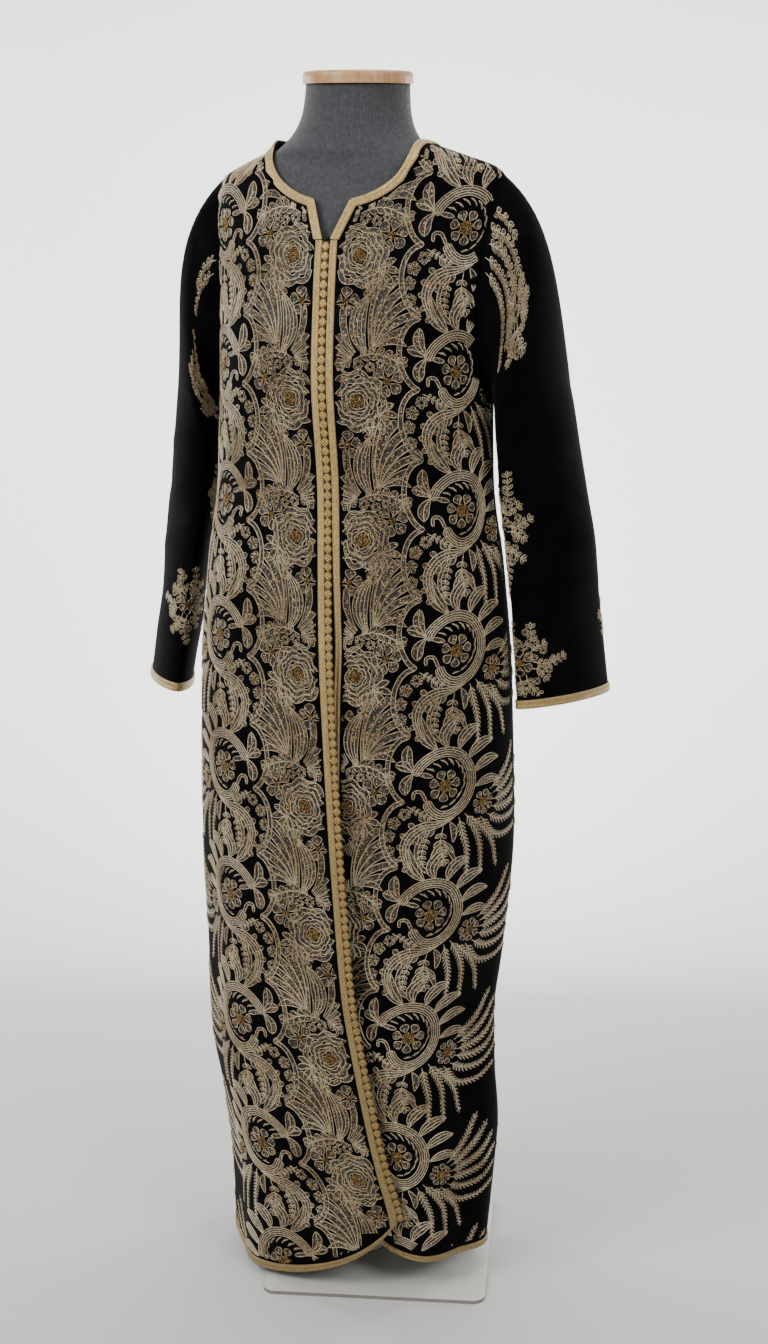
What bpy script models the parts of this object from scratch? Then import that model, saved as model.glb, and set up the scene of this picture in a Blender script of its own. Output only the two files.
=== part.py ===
# A Moroccan kaftan of black velvet, worn by a headless dress form on a steel stand.
# Metres, +Z up. The front faces -Y, so the wearer's left is +X. The origin is where the pole's
# axis meets the floor.

import math

import bmesh
import bpy
import numpy as np

# Cloth
WALL = 0.0022
SEAM = 0.0003
HEM = 0.010
HEM_TILT = 0.028
HEM_LOWEST = math.radians(-38)
HEM_SPREAD = math.radians(100)
PANEL_TOP = 1.4585
UNDERARM = 1.150
SHOULDER_TIP = 1.420
ARMHOLE_HALF_DEPTH = 0.052
ARMHOLE_GAP = 0.0005

# Neck opening: a round neck with a notch down to the first button
NOTCH_FOOT = 1.345
NOTCH_HEAD = 1.390
NOTCH_HALF_WIDTH = 0.0215
NECK_HALF_WIDTH = 0.091
NECK_SHIFT = -0.005
NECK_HEIGHT = PANEL_TOP - NOTCH_HEAD
BACK_NECK_DROP = 0.0155
BACK_DROP_FROM = 1.300

# Gold braid and knot buttons
BRAID = 0.009
NECK_BRAID = 0.011
BRAID_THICK = 0.002
NECK_BRAID_LIFT = 0.0012
NECK_FOOT_GAP = 0.0012
BUTTON_BAND = 0.0084
BUTTON_PITCH = 0.0107
BUTTON_END = 0.002
BUTTON_SECTION = (
    # share of the band's width, height on a knot, height between knots
    (0.08, 0.0006, 0.0006),
    (0.96, 0.0006, 0.0006),
    (0.80, 0.0040, 0.0022),
    (0.22, 0.0040, 0.0022),
)

# How the front hangs open towards the hem
HEM_RISE_OVER = 0.076
HEM_RISE_UNDER = 0.060
HEM_RISE_ANGLE = math.radians(17)
HEM_RISE_FROM = 0.300
RECESS_ANGLE = math.radians(31)

# Dress form and stand
FORM_FOOT = 0.800
CAP_RADIUS = 0.0665
CAP_THICK = 0.015
CAP_CENTRE_Y = 0.0175
POLE_RADIUS = 0.016
FLANGE_RADIUS = 0.045
FLANGE_THICK = 0.010
PLATE_SIDE = 0.290
PLATE_THICK = 0.005
PLATE_CORNER = 0.016
PLATE_CENTRE = (0.036, 0.006)
PLATE_TURN = math.radians(14.5)

# Sections of the worn body: the half width and its middle, and y at the front, the back and the sides
BODY = (
    # height, half_width, middle, front, back, side
    (0.000, 0.169, 0.008, -0.131, 0.121, 0.000),
    (0.140, 0.178, 0.011, -0.136, 0.125, 0.000),
    (0.210, 0.185, 0.009, -0.138, 0.127, 0.000),
    (0.300, 0.190, -0.002, -0.140, 0.128, 0.000),
    (0.370, 0.191, -0.004, -0.141, 0.129, 0.000),
    (0.450, 0.197, 0.000, -0.143, 0.130, 0.000),
    (0.620, 0.208, 0.004, -0.146, 0.131, 0.000),
    (0.800, 0.205, 0.001, -0.141, 0.126, 0.002),
    (0.950, 0.193, 0.000, -0.127, 0.108, 0.004),
    (1.060, 0.178, 0.000, -0.119, 0.100, 0.008),
    (1.170, 0.174, 0.000, -0.127, 0.108, 0.014),
    (1.280, 0.180, 0.000, -0.108, 0.114, 0.024),
    (1.345, 0.186, 0.000, -0.090, 0.112, 0.030),
    (1.390, 0.188, 0.000, -0.071, 0.104, 0.032),
    (1.416, 0.180, 0.003, -0.060, 0.095, 0.029),
    (1.431, 0.158, 0.011, -0.056, 0.088, 0.021),
    (1.445, 0.121, 0.009, -0.053, 0.077, 0.009),
    (1.4595, 0.0900, -0.005, -0.051, 0.068, -0.001),
)

# The middle of the button band wanders to the wearer's left on the way down
PLACKET = (
    # height, x
    (0.000, 0.112),
    (0.114, 0.104),
    (0.178, 0.089),
    (0.248, 0.074),
    (0.331, 0.059),
    (0.412, 0.047),
    (0.545, 0.038),
    (0.675, 0.030),
    (0.800, 0.022),
    (0.925, 0.015),
    (1.165, 0.008),
    (1.345, 0.000),
)

# Below the hip the left front sinks in and passes behind the right front
CROSSING = (
    # height, recess, underlap
    (0.000, 0.027, 0.050),
    (0.200, 0.036, 0.050),
    (0.350, 0.040, 0.045),
    (0.500, 0.032, 0.035),
    (0.650, 0.022, 0.020),
    (0.800, 0.012, 0.006),
    (0.880, 0.007, 0.000),
    (0.950, 0.003, 0.000),
    (1.020, 0.000, 0.000),
)

# The right side seam is drawn round with the right front, in degrees
SEAM_TURN = ((0.0, 22.0), (0.1, 19.0), (0.3, 12.0), (0.5, 7.0), (0.8, 2.0), (1.1, 0.0))

# Soft vertical folds, each fading in from its start down to its full depth
FOLDS = (
    # angle_top, angle_hem, half_width, out (degrees and metres), start, full (heights)
    (-30, -32, 24, 0.014, 0.80, 0.15),
    (-58, -50, 10, -0.006, 0.80, 0.35),
    (-84, -78, 11, 0.007, 0.90, 0.40),
    (-112, -106, 11, -0.009, 0.95, 0.45),
    (-138, -134, 11, 0.010, 1.00, 0.50),
    (-161, -160, 10, -0.012, 1.00, 0.45),
    (180, 182, 10, 0.010, 1.02, 0.50),
    (160, 158, 10, -0.011, 0.98, 0.45),
    (137, 134, 11, 0.010, 1.00, 0.50),
    (112, 110, 11, -0.008, 0.95, 0.45),
    (88, 84, 10, 0.006, 0.75, 0.30),
    (58, 66, 9, -0.005, 0.50, 0.22),
    (-44, -44, 16, 0.004, 1.33, 1.20),
    (44, 44, 16, 0.004, 1.33, 1.20),
)

# Sleeve sections, flattened, with a crease at the front and one at the back
SLEEVE = (
    # height, x, y, half_long, half_thick, tilt, twist (degrees)
    (0.778, 0.2625, 0.048, 0.079, 0.027, 6, 30),
    (0.870, 0.2530, 0.050, 0.075, 0.028, 6, 30),
    (0.947, 0.2450, 0.050, 0.073, 0.030, 7, 30),
    (1.020, 0.2345, 0.048, 0.072, 0.033, 8, 29),
    (1.086, 0.2265, 0.044, 0.072, 0.036, 18, 24),
    (1.150, 0.2190, 0.038, 0.080, 0.042, 42, 14),
)
SLEEVE_SHARPNESS = 0.30
SLEEVE_STRETCH = {"left": 1.0, "right": 1.05}
SLEEVE_SPREAD = {"left": 0.0, "right": 0.054}
SPREAD_FROM = 1.130
SLEEVE_RINGS = (1.150, 1.108, 1.060, 1.010, 0.950, 0.900, 0.845, 0.789, 0.778)
HEAD_RINGS = (0.0, 0.16, 0.36, 0.58, 0.80)
HEAD_LEAVE = 0.36
HEAD_ARRIVE = 0.38

# Drag folds across the sleeve
SLEEVE_FOLDS = (
    # turn (degrees from the outer side towards the front), height, half_turn, half_height, out
    (70, 1.040, 42, 0.040, 0.004),
    (40, 0.985, 40, 0.030, -0.004),
    (95, 0.930, 40, 0.032, 0.004),
    (-60, 1.000, 45, 0.040, 0.004),
    (-30, 0.900, 40, 0.035, -0.003),
    (150, 0.860, 40, 0.035, 0.003),
)

# The form's neck, above the garment's shoulders
NECK = (
    # height, half_width, front, back, side
    (1.448, 0.097, -0.050, 0.066, 0.000),
    (1.458, 0.085, -0.047, 0.067, 0.002),
    (1.472, 0.074, -0.045, 0.070, 0.007),
    (1.490, 0.067, -0.044, 0.074, 0.012),
    (1.510, 0.0645, -0.0450, 0.078, 0.0155),
    (1.5245, 0.0635, -0.0450, 0.080, 0.0175),
)

# How far the form's surface lies inside the cloth's outer face
FORM_EASE = ((0.80, 0.024), (0.95, 0.022), (1.05, 0.016), (1.17, 0.009), (1.28, 0.0070), (1.45, 0.0055))
FORM_HEIGHTS = (
    0.800, 0.812, 0.870, 0.950, 1.020, 1.090, 1.150, 1.200, 1.260, 1.320, 1.365, 1.395, 1.413, 1.428,
    1.441,
)
FORM_EDGE = 0.012

# Above the waist the folds fade in from CHEST_FROM and out again below CHEST_TO
WAIST = 1.02
CHEST_FROM = 1.05
CHEST_TO = 1.34
CHEST_FADE = 0.08
FORM_SIDES = 24

ROUND_SIDES = 28
FRONT_COLUMNS = 13
BACK_COLUMNS = 15
ROWS_BELOW_ARM = (
    HEM, HEM + 0.011, 0.060, 0.115, 0.155, 0.200, 0.250, 0.300, 0.355, 0.410, 0.470, 0.535, 0.600, 0.665,
    0.730, 0.795, 0.850, 0.900, 0.950, 1.000, 1.045, 1.085, 1.120,
)
ROWS_AT_ARM = (1.150, 1.155, 1.172, 1.205, 1.245, 1.285, 1.318, 1.345)
ROWS_OVER_NOTCH = (1.352, 1.370, 1.390, 1.397, 1.407, 1.416, 1.420)
ROWS_ON_SHOULDER = (1.429, 1.437, 1.445, 1.452, 1.4585)
ROWS = ROWS_BELOW_ARM + ROWS_AT_ARM + ROWS_OVER_NOTCH + ROWS_ON_SHOULDER


def clear_scene():
    for thing in list(bpy.data.objects):
        bpy.data.objects.remove(thing)


def curve_through(points):
    """A smooth curve through (place, value) points that never overshoots them."""
    place, value = np.array(sorted(points), float).T
    step = np.diff(place)
    slope = np.diff(value) / step
    tangent = np.zeros_like(value)
    total = np.where(slope[:-1] + slope[1:] == 0, 1.0, slope[:-1] + slope[1:])
    steady = slope[:-1] * slope[1:] > 0
    tangent[1:-1] = np.where(steady, 2 * slope[:-1] * slope[1:] / total, 0.0)
    tangent[0], tangent[-1] = slope[0], slope[-1]

    def read(at):
        at = np.clip(at, place[0], place[-1])
        k = np.clip(np.searchsorted(place, at) - 1, 0, len(step) - 1)
        t = (at - place[k]) / step[k]
        start = value[k] * (1 + 2 * t) * (1 - t) ** 2 + tangent[k] * step[k] * t * (1 - t) ** 2
        end = value[k + 1] * t * t * (3 - 2 * t) + tangent[k + 1] * step[k] * t * t * (t - 1)
        return start + end

    return read


def columns_of(table):
    """One smooth curve for each column of a table, over its first column."""
    return [curve_through([(row[0], row[k]) for row in table]) for k in range(1, len(table[0]))]


half_width, middle_x, front_y, back_y, side_y = columns_of(BODY)
(placket_x,) = columns_of(PLACKET)
recess_depth, underlap = columns_of(CROSSING)
(seam_turn,) = columns_of(SEAM_TURN)
sleeve_x, sleeve_y, sleeve_long, sleeve_thick, sleeve_tilt, sleeve_twist = columns_of(SLEEVE)
(form_ease,) = columns_of(FORM_EASE)


def smooth_step(t):
    t = np.clip(t, 0, 1)
    return t * t * (3 - 2 * t)


def angle_between(angle, centre):
    return (angle - centre + math.pi) % (2 * math.pi) - math.pi


def fold_offset(angle, height):
    """How far the folds move the cloth out at an angle round the body and a height."""
    out = np.zeros(np.broadcast(angle, height).shape)
    for top, hem, half, depth, start, full in FOLDS:
        down = np.clip((start - height) / start, 0, 1)
        centre = np.radians(top + (hem - top) * down)
        across = angle_between(angle, centre) / math.radians(half)
        out = out + depth * np.exp(-across * across) * smooth_step((start - height) / (start - full))
    from_waist, from_neck = (height - CHEST_FROM) / CHEST_FADE, (CHEST_TO - height) / CHEST_FADE
    fade = np.where(height > WAIST, smooth_step(from_waist) * smooth_step(from_neck), 1.0)
    return out * fade


def edge_x(height):
    """Where the right front's free edge lies."""
    return placket_x(height) - BUTTON_BAND / 2


def under_edge_x(height):
    """Where the left front's free edge lies: beside the right one, then behind it."""
    return edge_x(height) + SEAM - underlap(height)


def angle_at(x, height):
    return np.arcsin(np.clip((x - middle_x(height)) / half_width(height), -1, 1))


def cloth_point(angle, height, under=False):
    """A point on the garment's outer face. The left front, which lies under, sinks in near its edge."""
    height = np.asarray(height, float)
    wide, side = half_width(height), side_y(height)
    deep = np.where(np.cos(angle) > 0, side - front_y(height), back_y(height) - side)
    out = fold_offset(angle, height)
    if under:
        from_edge = (angle - angle_at(under_edge_x(height), height)) / RECESS_ANGLE
        out = out - recess_depth(height) * (1 - smooth_step(from_edge))
    facing = np.stack([np.sin(angle) / wide, -np.cos(angle) / deep], -1)
    facing = facing / np.linalg.norm(facing, axis=-1, keepdims=True)
    x = middle_x(height) + wide * np.sin(angle) + out * facing[..., 0]
    y = side - deep * np.cos(angle) + out * facing[..., 1]
    return np.stack([x, y, np.broadcast_to(height, x.shape)], -1)


def cloth_slopes(angle, height, under=False):
    """How a point on the cloth moves for each radian round the body and each metre up."""
    d = 1e-4
    round_body = (cloth_point(angle + d, height, under) - cloth_point(angle - d, height, under)) / (2 * d)
    up = (cloth_point(angle, height + d, under) - cloth_point(angle, height - d, under)) / (2 * d)
    return round_body, up


def cloth_skin(angle, height, out, under=False):
    """The cloth's outer face moved along its own normal."""
    round_body, up = cloth_slopes(angle, height, under)
    normal = np.cross(round_body, up)
    normal = normal / np.linalg.norm(normal, axis=-1, keepdims=True)
    return cloth_point(angle, height, under) + normal * out


def angle_for(width, angle, height, under=False):
    """The turn round the body that spans a width of cloth."""
    round_body, _ = cloth_slopes(angle, height, under)
    return width / np.linalg.norm(round_body, axis=-1)


def armhole_half_depth(height, shrink=0.0):
    middle, half = (UNDERARM + SHOULDER_TIP) / 2, (SHOULDER_TIP - UNDERARM) / 2 - shrink
    share = np.clip((height - middle) / half, -1, 1)
    return (ARMHOLE_HALF_DEPTH - shrink) * np.sqrt(1 - share * share)


def armhole_angle(height, behind, shrink=0.0):
    """The angle of the armhole's front or back edge, from the middle of the front."""
    reach = armhole_half_depth(height, shrink)
    if behind:
        return math.pi - np.arccos(reach / (back_y(height) - side_y(height)))
    return np.arccos(reach / (side_y(height) - front_y(height)))


def neck_x(height, sign):
    """The neck opening's edge at the front, from the notch's foot up to the neck point."""
    if height < NOTCH_HEAD:
        up = (height - NOTCH_FOOT) / (NOTCH_HEAD - NOTCH_FOOT)
        return sign * (BUTTON_BAND / 2 + (NOTCH_HALF_WIDTH - BUTTON_BAND / 2) * up)
    rest = 1 - (height - NOTCH_HEAD) / NECK_HEIGHT
    round_neck = NECK_HALF_WIDTH * math.sqrt(max(0.0, 1 - rest * rest))
    shift = NECK_SHIFT * (1 - rest)
    return sign * max(NOTCH_HALF_WIDTH, round_neck) + shift


def front_limits(side, height):
    """The angles where a front starts, at its free edge or the neck, and ends, at its seam or armhole."""
    under = side == "left"
    sign = 1 if under else -1
    if height <= NOTCH_FOOT:
        start = angle_at(under_edge_x(height) if under else edge_x(height), height)
    else:
        start = angle_at(neck_x(height, sign), height)
    if UNDERARM < height < SHOULDER_TIP:
        return float(start), float(sign * armhole_angle(height, behind=False))
    seam = math.pi / 2 if under else -math.pi / 2 + math.radians(seam_turn(height))
    gap = angle_for(SEAM / 2, seam, height)
    return float(start), float(seam - sign * gap)


def hem_rise(angle, height, from_edge=None, rise=0.0):
    """How much higher than its row a point of the skirt is: the hem tilts and lifts at the opening."""
    fade = np.clip((HEM_RISE_FROM - height) / (HEM_RISE_FROM - HEM), 0, 1) ** 2
    lift = HEM_TILT * smooth_step(np.abs(angle_between(angle, HEM_LOWEST)) / HEM_SPREAD)
    if from_edge is not None:
        lift = lift + rise * np.exp(-np.abs(from_edge) / HEM_RISE_ANGLE)
    return lift * fade


def front_grid(side):
    """Angles and heights of a front's points: a row for each height, columns from the edge to the seam."""
    under = side == "left"
    rise = HEM_RISE_UNDER if under else HEM_RISE_OVER
    strips = (BRAID, 2 * BRAID) if under else (BRAID,)
    angles, heights = [], []
    for row in ROWS:
        start, end = front_limits(side, row)
        edge_height = row + float(hem_rise(start, row, 0.0, rise))
        start, _ = front_limits(side, edge_height)
        full = end - start
        turn = math.copysign(float(angle_for(1.0, start, edge_height, under)), full)
        fixed = [0.0] + [min(w * turn / full, (k + 1) / FRONT_COLUMNS) for k, w in enumerate(strips)]
        left_over = FRONT_COLUMNS + 1 - len(fixed)
        rest = [fixed[-1] + (1 - fixed[-1]) * k / left_over for k in range(1, left_over + 1)]
        line = start + full * np.array(fixed + rest)
        angles.append(line)
        heights.append(row + hem_rise(line, row, line - start, rise))
    return np.array(angles), np.array(heights)


def back_grid():
    """Angles and heights of the back's points, from the left seam round to the right one."""
    angles, heights = [], []
    for row in ROWS:
        if UNDERARM < row < SHOULDER_TIP:
            start = float(armhole_angle(row, behind=True))
            end = 2 * math.pi - start
        else:
            gap = float(angle_for(SEAM / 2, math.pi / 2, row))
            start = math.pi / 2 + gap
            end = 1.5 * math.pi + math.radians(float(seam_turn(row))) - gap
        line = np.linspace(start, end, BACK_COLUMNS + 1)
        drop = BACK_NECK_DROP * np.sin(np.clip(line - math.pi / 2, 0, math.pi)) ** 2
        share = max(0.0, (row - BACK_DROP_FROM) / (PANEL_TOP - BACK_DROP_FROM))
        angles.append(line)
        heights.append(row - drop * share + hem_rise(line, row))
    return np.array(angles), np.array(heights)


def ring_normals(points):
    """Outward normals of a grid of points whose rows close on themselves."""
    across = np.roll(points, -1, axis=1) - np.roll(points, 1, axis=1)
    normal = np.cross(across, np.gradient(points, axis=0))
    normal = normal / np.linalg.norm(normal, axis=-1, keepdims=True)
    outwards = ((points - points.mean(axis=1, keepdims=True)) * normal).sum() > 0
    return normal if outwards else -normal


def add_object(name, points, faces, material):
    """A named object from points and faces, with its faces turned outwards."""
    mesh = bpy.data.meshes.new(name)
    work = bmesh.new()
    corners = [work.verts.new([float(value) for value in point]) for point in points]
    for face in faces:
        work.faces.new([corners[k] for k in face])
    bmesh.ops.recalc_face_normals(work, faces=work.faces)
    work.to_mesh(mesh)
    work.free()
    mesh.shade_smooth()
    mesh.set_sharp_from_angle(angle=math.radians(50))
    mesh.materials.append(material)
    made = bpy.data.objects.new(name, mesh)
    bpy.context.scene.collection.objects.link(made)
    return made


def closed_wall(name, outer, inner, material, ring=False):
    """A thin closed solid between two grids of points, open at its ends where they are rings."""
    rows, columns = outer.shape[:2]
    points = np.concatenate([outer.reshape(-1, 3), inner.reshape(-1, 3)])
    far = rows * columns

    def at(row, column, layer):
        return layer * far + row * columns + column % columns

    faces = []
    last = columns if ring else columns - 1
    for row in range(rows - 1):
        for column in range(last):
            corners = ((row, column), (row, column + 1), (row + 1, column + 1), (row + 1, column))
            face = [at(r, c, 0) for r, c in corners]
            back = [at(r, c, 1) for r, c in corners]
            faces.append(face)
            faces.append([back[0], back[3], back[2], back[1]])
    for column in range(last):
        faces.append([at(0, column + 1, 0), at(0, column, 0), at(0, column, 1), at(0, column + 1, 1)])
        end = rows - 1
        faces.append([at(end, column, 0), at(end, column + 1, 0), at(end, column + 1, 1), at(end, column, 1)])
    if not ring:
        for row in range(rows - 1):
            faces.append([at(row, 0, 0), at(row + 1, 0, 0), at(row + 1, 0, 1), at(row, 0, 1)])
            end = columns - 1
            faces.append([at(row + 1, end, 0), at(row, end, 0), at(row, end, 1), at(row + 1, end, 1)])
    return add_object(name, points, faces, material)


def add_panel(name, grid, material, under=False):
    """A cut piece of the body, as a wall of cloth."""
    angles, heights = grid
    outer = cloth_skin(angles, heights, 0.0, under)
    inner = cloth_skin(angles, heights, -WALL, under)
    return closed_wall(name, outer, inner, material)


def strip_beside(angles, heights, shares):
    """Lines over the cloth to the left of a path, each its own distance from it.

    The path is given by angles and heights. Its corners are mitred and its ends are cut level.
    """
    points = cloth_point(angles, heights)
    round_body, up = cloth_slopes(angles, heights)
    normal = np.cross(round_body, up)
    normal = normal / np.linalg.norm(normal, axis=1, keepdims=True)
    steps = np.diff(points, axis=0)
    steps = steps / np.linalg.norm(steps, axis=1, keepdims=True)
    before = np.cross(normal, np.concatenate([steps[:1], steps]))
    after = np.cross(normal, np.concatenate([steps, steps[-1:]]))
    across = before + after
    across[[0, -1], 2] = 0
    across = across / np.linalg.norm(across, axis=1, keepdims=True)
    mitre = 1 / np.clip((across * after).sum(1), 0.6, 1)
    edges = []
    for distance in shares:
        wanted = across * (mitre * distance)[:, None]
        turned, raised = np.array(angles, float), np.array(heights, float)
        for point in range(len(points)):
            both = np.stack([round_body[point], up[point]], 1)
            move = np.linalg.lstsq(both, wanted[point], rcond=None)[0]
            turned[point] += move[0]
            raised[point] += move[1]
        edges.append((turned, raised))
    return edges


def add_edge_braid(side, grid, material):
    """Braid down a front's free edge and on round its hem, made of the panel's own outer cells."""
    angles, heights = grid
    under = side == "left"
    top = ROWS.index(NOTCH_FOOT)
    first = 1 if under else 0
    near = [(row, first) for row in range(top, 0, -1)]
    far = [(row, first + 1) for row in range(top, 0, -1)]
    hem = list(range(first, FRONT_COLUMNS + 1))
    outer_line = near + [(0, column) for column in hem]
    inner_line = far + [(1, first + 1)] + [(1, column) for column in hem[1:]]
    lines = []
    for line in (outer_line, inner_line):
        a = np.array([angles[cell] for cell in line])
        h = np.array([heights[cell] for cell in line])
        lines.append((a, h))
    outer = np.stack([cloth_skin(a, h, SEAM + BRAID_THICK, under) for a, h in lines], 1)
    inner = np.stack([cloth_skin(a, h, SEAM, under) for a, h in lines], 1)
    return closed_wall("edge_braid_" + side, outer, inner, material)


def add_back_hem_braid(grid, material):
    angles, heights = grid
    outer = cloth_skin(angles[:2], heights[:2], SEAM + BRAID_THICK)
    inner = cloth_skin(angles[:2], heights[:2], SEAM)
    return closed_wall("hem_braid_back", outer, inner, material)


def neckline():
    """The neck's edge as angles and heights, from the notch's foot on the right round to the left."""
    over_notch = (NOTCH_FOOT + NECK_FOOT_GAP,) + ROWS_OVER_NOTCH + ROWS_ON_SHOULDER
    right = [(float(angle_at(neck_x(height, -1), height)), height) for height in over_notch]
    turns = np.linspace(-100, -260, 15)
    behind = []
    for turn in turns:
        height = PANEL_TOP - BACK_NECK_DROP * math.sin(math.radians(-turn - 90)) ** 2
        behind.append((math.radians(turn), height))
    left = []
    for height in reversed(over_notch):
        left.append((float(angle_at(neck_x(height, 1), height)) - 2 * math.pi, height))
    return np.array(right + behind + left).T


def add_neck_braid(material):
    angles, heights = neckline()
    lines = strip_beside(angles, heights, (0.0, NECK_BRAID / 2, NECK_BRAID))
    outer = np.stack([cloth_skin(a, h, NECK_BRAID_LIFT + BRAID_THICK) for a, h in lines], 1)
    inner = np.stack([cloth_skin(a, h, NECK_BRAID_LIFT) for a, h in lines], 1)
    return closed_wall("neck_braid", outer, inner, material)


def add_button_row(grid, material):
    """Knotted cord buttons side by side on one narrow band, along the right front's free edge."""
    angles, edge_heights = grid[0][:, 0], grid[1][:, 0]
    edge = cloth_point(angles, edge_heights)
    round_body, up = cloth_slopes(angles, edge_heights)
    normal = np.cross(round_body, up)
    normal = normal / np.linalg.norm(normal, axis=1, keepdims=True)
    beside = np.cross(up / np.linalg.norm(up, axis=1, keepdims=True), normal)

    top, low = NOTCH_FOOT - BUTTON_END, edge_heights[0] + BUTTON_END
    count = int((top - low) / BUTTON_PITCH)
    heights = np.linspace(top, low, 2 * count + 1)
    peaks = np.arange(2 * count + 1) % 2 == 1

    def along(values):
        return np.stack([np.interp(heights, edge_heights, values[:, axis]) for axis in range(3)], 1)

    line, out, across = along(edge), along(normal), along(beside)
    shape = []
    for share, peak, dip in BUTTON_SECTION:
        lift = np.where(peaks, peak, dip)[:, None]
        shape.append(line + across * (share * BUTTON_BAND) + out * lift)
    return closed_tube("button_row", np.stack(shape, 1), material)


def closed_tube(name, rings, material):
    """A solid through rings of points, with flat ends."""
    rows, columns = rings.shape[:2]
    faces = []
    for row in range(rows - 1):
        for column in range(columns):
            after = (column + 1) % columns
            here, there = row * columns, (row + 1) * columns
            faces.append([here + column, here + after, there + after, there + column])
    faces.append(list(range(columns)))
    faces.append([(rows - 1) * columns + k for k in reversed(range(columns))])
    return add_object(name, rings.reshape(-1, 3), faces, material)


def sleeve_point(turn, height, side):
    """A point on a sleeve below its head. turn runs from the outer side towards the front."""
    sign = 1 if side == "left" else -1
    tilt, twist = np.radians(sleeve_tilt(height)), np.radians(sleeve_twist(height))
    thick, wide = sleeve_thick(height), sleeve_long(height)
    out = np.zeros(np.broadcast(turn, height).shape)
    for centre, level, half_turn, half_height, depth in SLEEVE_FOLDS:
        around = angle_between(turn, math.radians(centre)) / math.radians(half_turn)
        along = (height - level - 0.02 * np.sin(turn)) / half_height
        out = out + depth * np.exp(-around * around - along * along)
    reach_out = (thick + out) * np.cos(turn) * np.abs(np.cos(turn)) ** SLEEVE_SHARPNESS
    reach_front = (wide + 0.5 * out) * np.sin(turn)
    spread = SLEEVE_SPREAD[side] * np.clip(SPREAD_FROM - height, 0, None)
    x = sleeve_x(height) + spread - reach_front * np.sin(twist)
    y = sleeve_y(height) - reach_front * np.cos(twist)
    x = x + reach_out * np.cos(twist) * np.cos(tilt)
    y = y - reach_out * np.sin(twist) * np.cos(tilt)
    level = UNDERARM - (UNDERARM - height) * SLEEVE_STRETCH[side]
    z = level + reach_out * np.sin(tilt)
    return np.stack([sign * x, y, z], -1)


def armhole_ring(turns, side):
    """Points just inside the armhole's edge, at the heights of the panels' own edge points."""
    sign = 1 if side == "left" else -1
    middle, half = (UNDERARM + SHOULDER_TIP) / 2, (SHOULDER_TIP - UNDERARM) / 2 - ARMHOLE_GAP
    heights = middle + half * np.cos(turns)
    before = armhole_angle(heights, behind=False, shrink=ARMHOLE_GAP)
    behind = armhole_angle(heights, behind=True, shrink=ARMHOLE_GAP)
    around = np.where(np.sin(turns) >= 0, before, behind)
    drop = BACK_NECK_DROP * np.sin(np.clip(around - math.pi / 2, 0, math.pi)) ** 2
    share = np.clip((heights - BACK_DROP_FROM) / (PANEL_TOP - BACK_DROP_FROM), 0, None)
    return cloth_point(sign * around, heights - drop * share)


def sleeve_head(turns, side):
    """Rings from the armhole over the sleeve's head, to the first ring of the arm."""
    sign = 1 if side == "left" else -1
    start = armhole_ring(turns, side)
    end = sleeve_point(turns, np.full_like(turns, UNDERARM), side)
    span = np.linalg.norm(end - start, axis=1, keepdims=True)
    leave = np.stack([
        np.full_like(turns, sign * 0.80),
        -0.15 * np.sin(turns),
        -0.42 - 0.22 * np.cos(turns),
    ], 1)
    leave = leave / np.linalg.norm(leave, axis=1, keepdims=True)
    arrive = np.array([sign * 0.10, 0.08, -1.0])
    arrive = arrive / np.linalg.norm(arrive)
    near, far = start + leave * span * HEAD_LEAVE, end - arrive * span * HEAD_ARRIVE
    rings = []
    for t in HEAD_RINGS:
        bend = start * (1 - t) ** 3 + near * 3 * t * (1 - t) ** 2
        rings.append(bend + far * 3 * t * t * (1 - t) + end * t**3)
    return rings


def sleeve_turns():
    """Turns round the sleeve whose points on the armhole match the rows of the front and the back."""
    middle, half = (UNDERARM + SHOULDER_TIP) / 2, (SHOULDER_TIP - UNDERARM) / 2
    rows = [row for row in ROWS if UNDERARM < row < SHOULDER_TIP]
    down = [math.acos((row - middle) / half) for row in reversed(rows)]
    return np.array([0.0] + down + [math.pi] + [2 * math.pi - turn for turn in reversed(down)])


def sleeve_grid(side):
    turns = sleeve_turns()
    rings = sleeve_head(turns, side)
    for height in SLEEVE_RINGS:
        rings.append(sleeve_point(turns, np.full_like(turns, height), side))
    return np.array(rings)


def add_sleeve(side, material, braid_material):
    """A tube of cloth, and the braid that its last cells carry."""
    outer = sleeve_grid(side)
    normal = ring_normals(outer)
    closed_wall("sleeve_" + side, outer, outer - normal * WALL, material, ring=True)
    cuff, cuff_normal = outer[-2:], normal[-2:]
    lifted = cuff + cuff_normal * (SEAM + BRAID_THICK)
    closed_wall("cuff_braid_" + side, lifted, cuff + cuff_normal * SEAM, braid_material, ring=True)


def form_rings():
    """Rings of the dress form: the body's sections drawn in by the ease, then the neck."""
    rings = []
    turns = np.arange(FORM_SIDES) * 2 * math.pi / FORM_SIDES
    for height in FORM_HEIGHTS:
        ease = float(form_ease(height)) + (FORM_EDGE if height == FORM_FOOT else 0.0)
        ring = cloth_skin(turns, np.full(FORM_SIDES, height), -ease)
        if height == FORM_FOOT:
            ring[:, 2] = FORM_FOOT
        rings.append(ring)
    for height, wide, front, back, side in NECK:
        deep = np.where(np.cos(turns) > 0, side - front, back - side)
        x, y = wide * np.sin(turns), side - deep * np.cos(turns)
        rings.append(np.stack([x, y, np.full_like(x, height)], 1))
    return np.array(rings)


def turned_solid(name, profile, centre, material, sides=ROUND_SIDES):
    """A solid of revolution about an upright axis, from (radius, height) points up its side."""
    turns = np.arange(sides) * 2 * math.pi / sides
    rings = [
        np.stack([centre[0] + r * np.sin(turns), centre[1] - r * np.cos(turns), np.full(sides, h)], 1)
        for r, h in profile
    ]
    return closed_tube(name, np.array(rings), material)


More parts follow.
